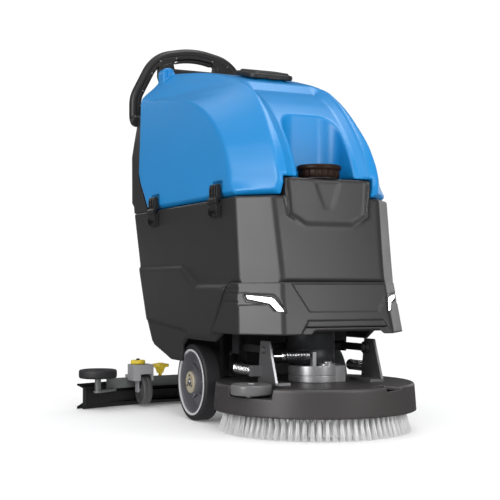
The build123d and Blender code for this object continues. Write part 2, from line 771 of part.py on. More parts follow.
with BuildPart() as chassis_frame:
    for side, _ in SIDES:
        block(sorted((side * RAIL_X[0], side * RAIL_X[1])), (60, 560), RAIL_Z)
        # axle hangers
        block(sorted((side * 130, side * 138)), (264, 324), (70, RAIL_Z[0] + 6))
        block(sorted((side * 130, side * 152)), (264, 324), (RAIL_Z[0], RAIL_Z[0] + 8))
        # lugs for the deck arms
        block(sorted((side * 152, side * 158)), (114, 146), (184, RAIL_Z[0] + 1))
    # cross members
    for y0, y1 in ((92, 116), (236, 256), (350, 370), (514, 538)):
        block((-RAIL_X[0] - 1, RAIL_X[0] + 1), (y0, y1), RAIL_Z)
    # pivot bar of the deck arms
    rod((-158, *LIFT_PIVOT), (158, *LIFT_PIVOT), 8)
    for side, _ in SIDES:
        rod((side * 129, WHEEL_Y, WHEEL_R), (side * 139, WHEEL_Y, WHEEL_R), 12.4, Mode.SUBTRACT)
    # rear lugs for the squeegee arm and the pedal
    for lug_x in ((-62, -54), (54, 62)):
        block(lug_x, (514, 538), (150, RAIL_Z[0] + 1))
        block(lug_x, (514, 562), (150, 182))
    rod((-58, *ARM_PIVOT), (58, *ARM_PIVOT), 7)
    for lug_x in ((RAIL_X[0] - 1, RAIL_X[0] + 3), (RAIL_X[1] - 3, RAIL_X[1] + 1)):
        block(lug_x, (510, 536), (166, RAIL_Z[0] + 1))
        block(lug_x, (510, 586), (166, 186))
    rod((RAIL_X[0] + 1, *PEDAL_PIVOT), (RAIL_X[1] - 1, *PEDAL_PIVOT), 5)
    # plates and kingpins of the rear casters
    for side, _ in SIDES:
        caster_x = side * CASTER_X
        plate_x = sorted((side * (CASTER_X - 40), side * (RAIL_X[0] + 2)))
        block(plate_x, (CASTER_Y - 35, CASTER_Y + 27), (RAIL_Z[0] - 6, RAIL_Z[0]))
        rod((caster_x, CASTER_Y, 104), (caster_x, CASTER_Y, RAIL_Z[0] - 5), 20)
        rod((caster_x, CASTER_Y, 92), (caster_x, CASTER_Y, 105), 8)
save(chassis_frame.part, "chassis_frame")

with BuildPart() as batteries:
    for battery_y in (222, 462):
        block((-168, 168), (battery_y - 110, battery_y + 110), (BATTERY_FLOOR_Z, 520))
        for post_x in (-120, 120):
            rod((post_x, battery_y, 520), (post_x, battery_y, 536), 9)
save(batteries.part, "batteries")

with BuildPart() as transaxle:
    block((-70, 70), (262, 330), (62, 150))
    rod((-71, WHEEL_Y, WHEEL_R), (71, WHEEL_Y, WHEEL_R), 36)
    fillet(transaxle.edges().filter_by(Axis.X).group_by(Axis.Z)[-1], 8)
    rod((0, 329, 120), (0, 436, 120), 50)
    block((-60, 60), (268, 326), (148, RAIL_Z[0] - 0.2))
    rod((-203.5, WHEEL_Y, WHEEL_R), (203.5, WHEEL_Y, WHEEL_R), AXLE_R)
save(transaxle.part, "transaxle")

# ---- drive wheels ----------------------------------------------------------------
RIM_R = 86.0
RIM_PROFILE = [
    (AXLE_R + RUNNING, 166),
    (30, 166),
    (30, 168),
    (74, 168),
    (74, 166),
    (RIM_R, 166),
    (RIM_R, 209),
    (80, 209),
    (76, 180),
    (33, 176),
    (30, 203),
    (AXLE_R + RUNNING, 203),
]
TYRE_PROFILE = [
    (RIM_R, 165),
    (WHEEL_R - 3, 165),
    (WHEEL_R, 169),
    (WHEEL_R, WHEEL_FACE_X - 4),
    (WHEEL_R - 3, WHEEL_FACE_X),
    (RIM_R, WHEEL_FACE_X),
]
for side, name in SIDES:
    with BuildPart() as tyre:
        with BuildSketch(Plane.XY):
            with BuildLine():
                Polyline(
                    *[(side * x, WHEEL_Y + r) for r, x in TYRE_PROFILE], close=True
                )
            make_face()
        revolve(axis=Axis((0, WHEEL_Y, 0), (1, 0, 0)))
    save(tyre.part.moved(Location((0, 0, WHEEL_R))), f"tyre_{name}")

    with BuildPart() as rim:
        with BuildSketch(Plane.XY):
            with BuildLine():
                Polyline(*[(side * x, WHEEL_Y + r) for r, x in RIM_PROFILE], close=True)
            make_face()
        revolve(axis=Axis((0, WHEEL_Y, 0), (1, 0, 0)))
        # spokes standing on the dish
        with BuildSketch(Plane.YZ.offset(side * 172)) as spokes:
            with Locations((WHEEL_Y, 0)):
                with PolarLocations(0, 5, start_angle=34):
                    with Locations((53, 0)):
                        Rectangle(52, 5)
        extrude(spokes.sketch, amount=side * 20)
    save(rim.part.moved(Location((0, 0, WHEEL_R))), f"rim_{name}")

    with BuildPart() as hub_cap:
        rod((side * 203.8, WHEEL_Y, WHEEL_R), (side * 208, WHEEL_Y, WHEEL_R), 24)
        with BuildSketch(Plane.YZ.offset(side * 207.9)) as bolt:
            with Locations((WHEEL_Y, WHEEL_R)):
                RegularPolygon(9, 6)
        extrude(bolt.sketch, amount=side * 6)
    save(hub_cap.part, f"hub_cap_{name}")

# ---- rear casters ------------------------------------------------------------------
for side, name in SIDES:
    caster_x = side * CASTER_X
    wheel_y = CASTER_Y + CASTER_TRAIL
    with BuildPart() as caster_fork:
        rod((caster_x, CASTER_Y, 88), (caster_x, CASTER_Y, 103.7), 24)
        rod((caster_x, CASTER_Y, 88), (caster_x, CASTER_Y, 105), 8 + RUNNING, Mode.SUBTRACT)
        for end in (-1, 1):
            x0, x1 = sorted((caster_x + end * 17, caster_x + end * 21))
            side_y = (CASTER_Y - 20, wheel_y + 10)
            block((x0, x1), side_y, (88, 92))
            with BuildSketch(Plane.YZ.offset(x0)) as leg:
                with BuildLine():
                    Polyline(
                        (CASTER_Y - 20, 92),
                        (wheel_y - 9, CASTER_R - 6),
                        (wheel_y + 9, CASTER_R - 6),
                        (wheel_y + 12, 92),
                        close=True,
                    )
                make_face()
            extrude(leg.sketch, amount=x1 - x0)
        block((caster_x - 21, caster_x + 21), (CASTER_Y - 20, wheel_y + 11), (88, 92))
        rod((caster_x, CASTER_Y, 87), (caster_x, CASTER_Y, 105), 8 + RUNNING, Mode.SUBTRACT)
        rod((caster_x - 21, wheel_y, CASTER_R), (caster_x + 21, wheel_y, CASTER_R), 5)
    save(caster_fork.part, f"caster_fork_{name}")

    with BuildPart() as caster_wheel:
        rod((caster_x - 14, wheel_y, CASTER_R), (caster_x + 14, wheel_y, CASTER_R), CASTER_R)
        fillet(caster_wheel.edges(), 5)
        rod(
            (caster_x - 15, wheel_y, CASTER_R),
            (caster_x + 15, wheel_y, CASTER_R),
            5 + RUNNING,
            Mode.SUBTRACT,
        )
    save(caster_wheel.part, f"caster_wheel_{name}")


# ---- deck: arms, cover, brackets, motor and springs ----------------------------------
ARM_X = (131.0, 139.0)
BRACKET_X = (143.0, 149.0)
MOTOR_Y = 22.0
ROLLER_AT = (-205.0, -65.0)
ROLLER_R = 46.0
ROLLER_Z = (98.5, 124.5)
SPINDLE_R = 10.0
SPRING_X = 163.0
SPRING_Z = 149.0

with BuildPart() as lift_arms:
    for side, _ in SIDES:
        near, far = side * ARM_X[0], side * ARM_X[1]
        for pivot in (LIFT_PIVOT, LIFT_PIN):
            rod((near, *pivot), (far, *pivot), 15)
        block(sorted((near, far)), (LIFT_PIN[0], LIFT_PIVOT[0]), (191, 209))
    rod((-ARM_X[0] - 1, 101, 200), (ARM_X[0] + 1, 101, 200), 9)
    for pivot in (LIFT_PIVOT, LIFT_PIN):
        rod((-ARM_X[1] - 1, *pivot), (ARM_X[1] + 1, *pivot), 8 + RUNNING, Mode.SUBTRACT)
save(lift_arms.part, "lift_arms")

with BuildPart() as deck_cover:
    with BuildSketch(Plane.XY.offset(DECK_BOTTOM_Z)) as skirt_foot:
        Circle(DECK_R)
    with BuildSketch(Plane.XY.offset(DECK_TOP_Z)) as skirt_top:
        Circle(DECK_TOP_R)
    loft([skirt_foot.sketch, skirt_top.sketch])
    fillet(deck_cover.faces().sort_by(Axis.Z)[-1].edges(), 5)
    rod((0, 0, DECK_BOTTOM_Z - 1), (0, 0, DECK_TOP_Z - 9), 240, Mode.SUBTRACT)
    rod((0, 0, 100), (0, 0, 130), 40, Mode.SUBTRACT)
    # pocket of the guide roller, with its own floor and pin
    with BuildSketch(Plane.XY.offset(88)) as roller_floor:
        Circle(DECK_TOP_R)
        with Locations(ROLLER_AT):
            Circle(ROLLER_R + 6, mode=Mode.INTERSECT)
    extrude(roller_floor.sketch, amount=6)
    rod((*ROLLER_AT, 94), (*ROLLER_AT, 130), ROLLER_R + 4, Mode.SUBTRACT)
    rod((*ROLLER_AT, 90), (*ROLLER_AT, ROLLER_Z[1] - 2), 7)
    rod((*ROLLER_AT, 90), (*ROLLER_AT, ROLLER_Z[0] - 0.4), 16)
save(deck_cover.part, "deck_cover")

with BuildPart() as deck_roller:
    rod((*ROLLER_AT, ROLLER_Z[0]), (*ROLLER_AT, ROLLER_Z[1]), ROLLER_R)
    fillet(deck_roller.edges(), 5)
    rod((*ROLLER_AT, 90), (*ROLLER_AT, ROLLER_Z[1] - 1.5), 7 + RUNNING, Mode.SUBTRACT)
save(deck_roller.part, "deck_roller")

with BuildPart() as deck_brackets:
    for side, _ in SIDES:
        inner_x, outer_x = side * BRACKET_X[0], side * BRACKET_X[1]
        foot_x = sorted((side * 110, outer_x))
        block(foot_x, (-83, 15), (DECK_TOP_Z, DECK_TOP_Z + 6))
        with BuildSketch(Plane.YZ.offset(min(inner_x, outer_x))) as cheek:
            with BuildLine():
                Polyline((-83, 121), (15, 121), (0, 222), (-43, 222), close=True)
            make_face()
        extrude(cheek.sketch, amount=BRACKET_X[1] - BRACKET_X[0])
        rod((side * 129, *LIFT_PIN), (side * 144, *LIFT_PIN), 8)
        rod((side * 148, *LIFT_PIN), (side * 155, *LIFT_PIN), 8)
        block(sorted((side * 148, side * 176)), (0, 9), (136, 162))
save(deck_brackets.part, "deck_brackets")

with BuildPart() as gear_case:
    rod((0, 0, DECK_TOP_Z), (0, 0, 160), 65.5)
    rod((0, 0, 66), (0, 0, 120), SPINDLE_R)
    rod((12, -50, 159), (12, -50, 170), 11)
    block((-36, -26), (-57, -44), (159, 194))
save(gear_case.part, "gear_case")

with BuildPart() as brush_motor:
    rod((0, MOTOR_Y, 160.2), (0, MOTOR_Y, 262), 57)
    fillet(brush_motor.faces().sort_by(Axis.Z)[-1].edges(), 8)
save(brush_motor.part, "brush_motor")

with BuildPart() as deck_springs:
    for side, _ in SIDES:
        rod((side * SPRING_X, 9.2, SPRING_Z), (side * SPRING_X, 98, SPRING_Z), 14)
        rod((side * SPRING_X, 97, SPRING_Z), (side * SPRING_X, 105, SPRING_Z), 8)
    rod((-142.8, -50, 186), (-36.2, -50, 186), 4)
    rod((-116, -50, 186), (-48, -50, 186), 11)
save(deck_springs.part, "deck_springs")

# ---- brush -----------------------------------------------------------------------------
BRISTLE_TOP_Z = 58.0
with BuildPart() as brush_disc:
    rod((0, 0, BRISTLE_TOP_Z), (0, 0, 74), 224)
    rod((0, 0, 73), (0, 0, 104), 34)
    rod((0, 0, 50), (0, 0, 105), SPINDLE_R + RUNNING, Mode.SUBTRACT)
save(brush_disc.part, "brush_disc")

with BuildPart() as bristles:
    with BuildSketch(Plane.XZ):
        with BuildLine():
            Polyline(
                (118, 0),
                (237, 0),
                (222, BRISTLE_TOP_Z - 0.1),
                (126, BRISTLE_TOP_Z - 0.1),
                close=True,
            )
        make_face()
    revolve(axis=Axis.Z)
save(bristles.part, "bristles")

# ---- pedal that raises the deck ------------------------------------------------------------
with BuildPart() as deck_pedal:
    rod((PEDAL_X[0], *PEDAL_PIVOT), (PEDAL_X[1], *PEDAL_PIVOT), 10)
    with BuildSketch(Plane.YZ.offset(PEDAL_X[0] + 2)) as pedal_arm:
        with BuildLine():
            Polyline(
                (PEDAL_PIVOT[0] - 4, PEDAL_PIVOT[1] - 9),
                (PEDAL_PIVOT[0] + 4, PEDAL_PIVOT[1] + 9),
                (640, 166),
                (640, 152),
                close=True,
            )
        make_face()
    extrude(pedal_arm.sketch, amount=10)
    block((138, 170), (636, 674), (152, 160))
    rod((150, *PEDAL_PIVOT), (172, *PEDAL_PIVOT), 5 + RUNNING, Mode.SUBTRACT)
save(deck_pedal.part, "deck_pedal")

# ---- squeegee -------------------------------------------------------------------------------
BAR_R = (929.0, 943.0)
BAR_Z = (54.0, 83.0)
BAR_HALF_W = 312.0
YAW_Y = arc_y(936.0, 0)
ROLLER_POST = (354.5, 645.0)
END_ROLLER_R = 54.5
END_ROLLER_Z = (90.0, 115.0)
SQ_WHEEL = (207.0, 668.0, 49.0)
SQ_WHEEL_R = 41.5
STAR_X = 130.0
STAR_Y = arc_y(936.0, STAR_X)
FLAT_KNOB = (222.0, 676.0)
FORK_TOP_Z = 124.0

with BuildPart() as squeegee_arm:
    rod((-52, *ARM_PIVOT), (52, *ARM_PIVOT), 13)
    for side, _ in SIDES:
        x0, x1 = sorted((side * 42, side * 50))
        with BuildSketch(Plane.YZ.offset(x0)) as arm_side:
            with BuildLine():
                Polyline(
                    (545, 152.5),
                    (549, 177.5),
                    (712, 112),
                    (765, 101),
                    (765, 92),
                    (694, 92),
                    close=True,
                )
            make_face()
        extrude(arm_side.sketch, amount=x1 - x0)
    block((-50, 50), (700, 765), (92, 101))
    rod((-53, *ARM_PIVOT), (53, *ARM_PIVOT), 7 + RUNNING, Mode.SUBTRACT)
    rod((0, YAW_Y, 62), (0, YAW_Y, 93), 5)
save(squeegee_arm.part, "squeegee_arm")

with BuildPart() as squeegee_beam:
    arc_band(*BAR_R, BAR_HALF_W, *BAR_Z)
    rod((0, YAW_Y, BAR_Z[0]), (0, YAW_Y, 91), 16)
    block((-17, 17), (YAW_Y + 6.9, YAW_Y + 20), (50, 95), Mode.SUBTRACT)
    for side, _ in SIDES:
        with BuildSketch(Plane.XY.offset(BAR_Z[0] - 6)) as arm_plate:
            with Locations((side * 327.2, 664.5)):
                SlotCenterToCenter(67.6, 26, rotation=-side * 36.3)
        extrude(arm_plate.sketch, amount=6.01)
        post_x, post_y = side * ROLLER_POST[0], ROLLER_POST[1]
        rod((post_x, post_y, 50), (post_x, post_y, 88), 9)
        rod((post_x, post_y, 50), (post_x, post_y, 113), 7)
        rod((side * STAR_X, STAR_Y, 60), (side * STAR_X, STAR_Y, 84), 5 + RUNNING, Mode.SUBTRACT)
    rod((0, YAW_Y, 50), (0, YAW_Y, 92), 5 + RUNNING, Mode.SUBTRACT)
save(squeegee_beam.part, "squeegee_beam")

with BuildPart() as squeegee_body:
    arc_band(943.2, 964.0, 384, 10, 60)
    # clamping straps outside the two blades
    arc_band(968.2, 970.0, 378, 14, 56)
    arc_band(937.4, 939.2, 378, 14, 46)
save(squeegee_body.part, "squeegee_body")

with BuildPart() as squeegee_blades:
    arc_band(964.2, 968.0, BLADE_HALF_W, 0, 72)
    arc_band(939.4, 943.0, 394, 0.5, 53)
    # notched blade ends
    for side, _ in SIDES:
        with BuildSketch(Plane.XZ.offset(-900)) as blade_notch:
            with BuildLine():
                Polyline(
                    (side * (BLADE_HALF_W + 1), 6),
                    (side * (BLADE_HALF_W - 20), 16),
                    (side * (BLADE_HALF_W - 20), 58),
                    (side * (BLADE_HALF_W + 1), 68),
                    close=True,
                )
            make_face()
        extrude(blade_notch.sketch, amount=400, mode=Mode.SUBTRACT)
save(squeegee_blades.part, "squeegee_blades")

with BuildPart() as wheel_forks:
    for side, _ in SIDES:
        wheel_x, wheel_y, wheel_z = SQ_WHEEL
        fork_x = sorted((side * 184.0, side * 246.0))
        block(fork_x, (646, 700), (77, FORK_TOP_Z))
        slot_x = sorted((side * 190.5, side * 223.5))
        block(slot_x, (640, 705), (70, 96), Mode.SUBTRACT)
        for x0, x1 in ((186.0, 190.5), (223.5, 228.0)):
            block(sorted((side * x0, side * x1)), (660, 684), (42, 80))
        block(fork_x, (698, 722), (BAR_Z[1] + 0.2, 92))
        rod((side * 187, wheel_y, wheel_z), (side * 227, wheel_y, wheel_z), 4)
        rod(
            (side * FLAT_KNOB[0], FLAT_KNOB[1], FORK_TOP_Z - 12),
            (side * FLAT_KNOB[0], FLAT_KNOB[1], FORK_TOP_Z + 1),
            4 + RUNNING,
            Mode.SUBTRACT,
        )
save(wheel_forks.part, "wheel_forks")

for side, name in SIDES:
    wheel_x, wheel_y, wheel_z = side * SQ_WHEEL[0], SQ_WHEEL[1], SQ_WHEEL[2]
    with BuildPart() as squeegee_wheel:
        rod((wheel_x - 14, wheel_y, wheel_z), (wheel_x + 14, wheel_y, wheel_z), SQ_WHEEL_R)
        fillet(squeegee_wheel.edges(), 5)
        rod(
            (wheel_x - 15, wheel_y, wheel_z),
            (wheel_x + 15, wheel_y, wheel_z),
            4 + RUNNING,
            Mode.SUBTRACT,
        )
    save(squeegee_wheel.part, f"squeegee_wheel_{name}")

    post = (side * ROLLER_POST[0], ROLLER_POST[1])
    with BuildPart() as end_roller:
        rod((*post, END_ROLLER_Z[0]), (*post, END_ROLLER_Z[1]), END_ROLLER_R)
        fillet(end_roller.edges(), 5)
        rod((*post, 80), (*post, END_ROLLER_Z[1] - 1.5), 7 + RUNNING, Mode.SUBTRACT)
    save(end_roller.part, f"end_roller_{name}")

    star_at = (side * STAR_X, STAR_Y)
    with BuildPart() as star_knob:
        rod((*star_at, 66), (*star_at, 96), 5)
        with BuildSketch(Plane.XY.offset(92)) as cone_foot:
            with Locations(star_at):
                Circle(9)
        with BuildSketch(Plane.XY.offset(109)) as cone_top:
            with Locations(star_at):
                Circle(16)
        loft([cone_foot.sketch, cone_top.sketch])
        with BuildSketch(Plane.XY.offset(109)) as star:
            with Locations(star_at):
                Circle(27.5)
                with PolarLocations(31, 5):
                    Circle(9, mode=Mode.SUBTRACT)
        extrude(star.sketch, amount=10)
        rod((*star_at, 118), (*star_at, 122), 8)
    save(star_knob.part, f"star_knob_{name}")

    flat_at = (side * FLAT_KNOB[0], FLAT_KNOB[1])
    with BuildPart() as flat_knob:
        rod((*flat_at, FORK_TOP_Z - 10), (*flat_at, FORK_TOP_Z + 2), 4)
        rod((*flat_at, FORK_TOP_Z + 0.5), (*flat_at, FORK_TOP_Z + 12.5), 21.5)
        fillet(flat_knob.faces().sort_by(Axis.Z)[-1].edges(), 2)
        rod((*flat_at, FORK_TOP_Z + 12), (*flat_at, FORK_TOP_Z + 17), 6)
    save(flat_knob.part, f"flat_knob_{name}")

print(len(written), "nodes")
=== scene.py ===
"""Looks of a walk-behind wet dry floor scrubber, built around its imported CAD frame.

Shapes are laid out in millimetres from the floor point under the brush axis, as the CAD source is:
-Y to the front, +Z up. metres() moves them to the frame's own origin.
"""
import bpy
import bmesh
import functools
import itertools
import json
import math
import numpy as np
import random
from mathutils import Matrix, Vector


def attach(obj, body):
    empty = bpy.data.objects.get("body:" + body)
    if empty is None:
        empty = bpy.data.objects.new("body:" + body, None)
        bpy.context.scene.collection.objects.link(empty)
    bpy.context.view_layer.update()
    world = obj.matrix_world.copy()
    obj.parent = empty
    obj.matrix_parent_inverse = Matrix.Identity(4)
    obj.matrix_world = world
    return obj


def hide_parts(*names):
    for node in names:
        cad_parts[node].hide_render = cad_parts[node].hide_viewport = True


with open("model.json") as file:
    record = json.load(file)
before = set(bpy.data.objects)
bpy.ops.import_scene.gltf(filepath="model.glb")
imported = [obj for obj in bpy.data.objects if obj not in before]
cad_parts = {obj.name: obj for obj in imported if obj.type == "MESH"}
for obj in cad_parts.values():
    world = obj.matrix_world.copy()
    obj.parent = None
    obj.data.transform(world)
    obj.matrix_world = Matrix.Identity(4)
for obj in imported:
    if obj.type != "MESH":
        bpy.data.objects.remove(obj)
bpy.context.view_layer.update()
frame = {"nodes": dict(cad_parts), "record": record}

BRUSH_AXIS_Y = -279
SIDES = ((-1, "right"), (1, "left"))
NODES = frame["nodes"]
NODE_BODY = {n: b for b, ns in frame["record"]["behaviour"]["bodies"].items() for n in ns}
NODE_SLOT = {s["node"]: s["material_slot"] for s in frame["record"]["subparts"]}


def metres(points):
    """Millimetres from the brush axis to metres in the frame."""
    moved = np.asarray(points, float) + np.array((0, BRUSH_AXIS_Y, 0))
    return moved / 1000


# ---- materials ----
def add_node(tree, kind, links=(), **settings):
    """A shader node with its input values, linked from (node, output, input) triples."""
    node = tree.nodes.new("ShaderNode" + kind)
    for name, value in settings.items():
        node.inputs[name.replace("_", " ")].default_value = value
    for source, output, socket in links:
        tree.links.new(source.outputs[output], node.inputs[socket])
    return node


ROUGH_SPAN = 0.06       # how far roughness varies either way
PATCH_SCALE = 9       # large patches per metre


def material(name, colour, rough, tone, grain, bump, metallic=0, specular=0.32, coat=0, glow=0):
    """A principled material whose colour, roughness and relief vary a little over the surface.

    tone: share of lightness that large patches vary by; grain: size of the fine relief in mm;
    bump: its height in mm; glow: strength of its own light.
    """
    mat = bpy.data.materials.new(name)
    mat.use_nodes = True
    tree = mat.node_tree
    shader = tree.nodes["Principled BSDF"]
    for socket, value in (("Metallic", metallic), ("Coat Weight", coat), ("Coat Roughness", 0.15),
                          ("Specular IOR Level", specular)):
        shader.inputs[socket].default_value = value
    if glow:
        shader.inputs["Emission Color"].default_value = (*colour, 1)
        shader.inputs["Emission Strength"].default_value = glow
    place = add_node(tree, "TexCoord")
    patches = add_node(tree, "TexNoise", [(place, "Object", "Vector")], Scale=PATCH_SCALE, Detail=5)
    mix = tree.nodes.new("ShaderNodeMix")
    mix.data_type = "RGBA"
    mix.inputs["A"].default_value = (*[c * (1 - tone) for c in colour], 1)
    mix.inputs["B"].default_value = (*[min(1, c * (1 + tone)) for c in colour], 1)
    tree.links.new(patches.outputs["Fac"], mix.inputs["Factor"])
    tree.links.new(mix.outputs["Result"], shader.inputs["Base Color"])
    fine = add_node(tree, "TexNoise", [(place, "Object", "Vector")], Scale=1000 / (grain * 4), Detail=3)
    spread = add_node(tree, "MapRange", [(patches, "Fac", "Value")],
                      To_Min=rough - ROUGH_SPAN, To_Max=rough + ROUGH_SPAN)
    tree.links.new(spread.outputs["Result"], shader.inputs["Roughness"])
    relief = add_node(tree, "Bump", [(fine, "Fac", "Height")], Strength=0.5, Distance=bump / 1000)
    tree.links.new(relief.outputs["Normal"], shader.inputs["Normal"])
    return mat


# name, colour, roughness, share of tone, grain and relief in mm, then metallic, specular, coat and glow
MATERIALS = {
    "blue_tank": ("blue_polyethylene", (0.004, 0.222, 0.56), 0.38, 0.05, 0.9, 0.05),
    "grey_body": ("grey_polyethylene", (0.028, 0.0262, 0.0268), 0.4, 0.06, 0.9, 0.06),
    "black_plastic": ("black_moulding", (0.018, 0.017, 0.017), 0.45, 0.12, 0.5, 0.1),
    "cap_brown": ("filler_cap_moulding", (0.022, 0.011, 0.007), 0.42, 0.15, 0.5, 0.1, 0, 0.08),
    "deck_plastic": ("deck_moulding", (0.044, 0.04, 0.04), 0.45, 0.08, 0.7, 0.08),
    "lamp_white": ("lamp_strip", (0.95, 0.97, 1), 0.2, 0.02, 0.4, 0.08, 0, 0.32, 0, 5),
    "screen_glass": ("display_window", (0.012, 0.02, 0.028), 0.12, 0.1, 2, 0.01, 0, 0.32, 0.6),
    "button_grey": ("button_moulding", (0.42, 0.42, 0.42), 0.45, 0.06, 0.5, 0.08),
    "steel_dark": ("black_coated_steel", (0.03, 0.031, 0.034), 0.42, 0.15, 0.6, 0.12, 0.35),
    "steel_grey": ("grey_steel", (0.3, 0.3, 0.31), 0.36, 0.1, 0.5, 0.05, 0.85),
    "spring_steel": ("spring_wire", (0.55, 0.55, 0.56), 0.25, 0.15, 0.4, 0.03, 1),
    "cast_alu": ("cast_aluminium", (0.42, 0.42, 0.43), 0.4, 0.1, 0.8, 0.14, 0.75),
    "fork_grey": ("light_grey_moulding", (0.3, 0.3, 0.31), 0.42, 0.08, 0.6, 0.08),
    # the rim lip's colour is a much lighter copy of the rim's grey: a painted highlight standing in for the sheen on
    # the lip
    "rim_lip": ("rim_lip", (0.52, 0.52, 0.54), 0.35, 0.06, 0.6, 0.04),
    "roller_grey": ("roller_moulding", (0.125, 0.125, 0.128), 0.3, 0.08, 0.6, 0.06),
    "beam_grey": ("satin_beam", (0.17, 0.175, 0.175), 0.38, 0.1, 0.6, 0.06, 0.3),
    # the rim's own grey, set darker to stand in for the shade inside the wheel's dish: part colour, part painted shade
    "rim_grey": ("rim_moulding", (0.135, 0.135, 0.148), 0.42, 0.08, 0.6, 0.08),
    "hub_cream": ("hub_moulding", (0.42, 0.37, 0.27), 0.4, 0.1, 0.5, 0.06, 0.2),
    "yellow_knob": ("yellow_moulding", (0.8, 0.6, 0.04), 0.38, 0.12, 0.5, 0.06),
    "tyre_rubber": ("tyre_rubber", (0.02, 0.02, 0.023), 0.6, 0.15, 0.8, 0.15, 0, 0.35),
    "wheel_grey": ("caster_tread", (0.07, 0.07, 0.072), 0.55, 0.15, 0.8, 0.12, 0, 0.35),
    "blade_rubber": ("blade_rubber", (0.014, 0.015, 0.016), 0.4, 0.12, 0.8, 0.06, 0, 0.4),
    "nylon": ("nylon_filament", (0.86, 0.86, 0.86), 0.35, 0.03, 0.6, 0.03),
}
MATS = {key: material(*row) for key, row in MATERIALS.items()}


# ---- mesh helpers ----
def new_object(name, data, mat=None):
    """An object in the scene, of one material if it is a mesh."""
    obj = bpy.data.objects.new(name, data)
    bpy.context.scene.collection.objects.link(obj)
    if mat:
        data.materials.append(MATS[mat])
    return obj


def piece(name, verts, faces, mat, body, stands_for=None, **finish):
    """A mesh piece from millimetre points, riding on a CAD body; finish as in finish_piece."""
    mesh = bpy.data.meshes.new(name)
    mesh.from_pydata([tuple(p) for p in metres(verts)], [], [tuple(map(int, f)) for f in faces])
    mesh.validate()
    work = bmesh.new()
    work.from_mesh(mesh)
    bmesh.ops.recalc_face_normals(work, faces=work.faces)
    work.to_mesh(mesh)
    work.free()
    finish_piece(new_object(name, mesh, mat), body, stands_for, **finish)


def finish_piece(obj, body, stands_for, bevel=0, angle=30, segments=2, slot=None):
    """Shading, bevels and the ride of a piece; it hides the CAD node it stands for."""
    mesh = obj.data
    mesh.polygons.foreach_set("use_smooth", [True] * len(mesh.polygons))
    if bevel:
        rounding = obj.modifiers.new("bevel", "BEVEL")
        rounding.width = bevel / 1000
        rounding.segments = segments
        rounding.limit_method = "ANGLE"
        rounding.angle_limit = math.radians(angle)
        rounding.miter_outer = "MITER_ARC"
        weighted = obj.modifiers.new("normals", "WEIGHTED_NORMAL")
        weighted.keep_sharp = False
    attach(obj, body)
    if stands_for:
        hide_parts(stands_for)
        slot = slot or NODE_SLOT[stands_for]


def softened(node, mat, width, segments):
    """A rounded-edge copy of a CAD node that stands for it."""
    mesh = NODES[node].data.copy()
    mesh.name = node + "_form"
    work = bmesh.new()
    work.from_mesh(mesh)
    bmesh.ops.remove_doubles(work, verts=work.verts, dist=2e-5)
    bmesh.ops.dissolve_limit(work, angle_limit=math.radians(1.5), verts=work.verts, edges=work.edges)
    work.to_mesh(mesh)
    work.free()
    if mesh.has_custom_normals:
        mesh.normals_split_custom_set([(0, 0, 0)] * len(mesh.loops))
    mesh.materials.clear()
    obj = new_object(node + "_form", mesh, mat)
    finish_piece(obj, NODE_BODY[node], node, width, 28, segments)
    obj.modifiers["bevel"].use_clamp_overlap = True


def smooth_line(points, steps):
    """Catmull-Rom line through points, with steps runs between neighbours."""
    pts = np.asarray(points, float)
    ends = np.vstack([2 * pts[0] - pts[1], pts, 2 * pts[-1] - pts[-2]])
    out = []
    for i in range(1, len(ends) - 2):
        a, b, c, d = ends[i - 1], ends[i], ends[i + 1], ends[i + 2]
        for t in np.arange(steps) / steps:
            out.append(0.5 * (2 * b + (c - a) * t + (2 * a - 5 * b + 4 * c - d) * t**2
                              + (3 * b - a - 3 * c + d) * t**3))
    out.append(pts[-1])
    return np.array(out)


def graph(points):
    """Monotone cubic through (position, value) pairs, as a function of position."""
    xs, ys = np.array(points, float).T
    h = np.diff(xs)
    rise = np.diff(ys) / h
    slope = np.empty_like(xs)
    slope[0], slope[-1] = rise[0], rise[-1]
    same = rise[:-1] * rise[1:] > 0
    w1, w2 = 2 * h[1:] + h[:-1], h[1:] + 2 * h[:-1]
    with np.errstate(divide="ignore", invalid="ignore"):
        mean = (w1 + w2) / (w1 / rise[:-1] + w2 / rise[1:])
    slope[1:-1] = np.where(same, mean, 0)

    def value(x):
        x = np.asarray(x, float)
        i = np.clip(np.searchsorted(xs, x) - 1, 0, len(h) - 1)
        t = (x - xs[i]) / h[i]
        outside = np.where(t < 0, slope[i] * h[i] * t, slope[i + 1] * h[i] * (t - 1))
        u = np.clip(t, 0, 1)
        inside = ((2 * u**3 - 3 * u**2 + 1) * ys[i] + (u**3 - 2 * u**2 + u) * h[i] * slope[i]
                  + (3 * u**2 - 2 * u**3) * ys[i + 1] + (u**3 - u**2) * h[i] * slope[i + 1])
        return inside + np.where((t < 0) | (t > 1), outside, 0)
    return value


def level_graphs(levels):
    """A graph over height for each column of a table whose first column is the height."""
    heights, *columns = zip(*levels)
    return [graph(list(zip(heights, column))) for column in columns]


def lathe(profile, centre=(0, 0, 0), axis="z", segments=96, wave=None):
    """Closed ring of revolution from (radius, height) points; wave(angle, radius, height) gives a new radius."""
    count = len(profile)
    verts, faces = [], []
    for s in range(segments):
        turn = 2 * math.pi * s / segments
        for r, h in profile:
            reach = wave(turn, r, h) if wave else r
            a, b = reach * math.cos(turn), reach * math.sin(turn)
            verts.append({"z": (a, b, h), "x": (h, a, b), "y": (a, h, b)}[axis])
    for s in range(segments):
        t = (s + 1) % segments
        for i in range(count - 1):
            faces.append((s * count + i, s * count + i + 1, t * count + i + 1, t * count + i))
        if min(profile[0][0], profile[-1][0]) > 1e-6:
            faces.append((s * count + count - 1, s * count, t * count, t * count + count - 1))
    return weld(np.array(verts) + np.array(centre, float), faces)


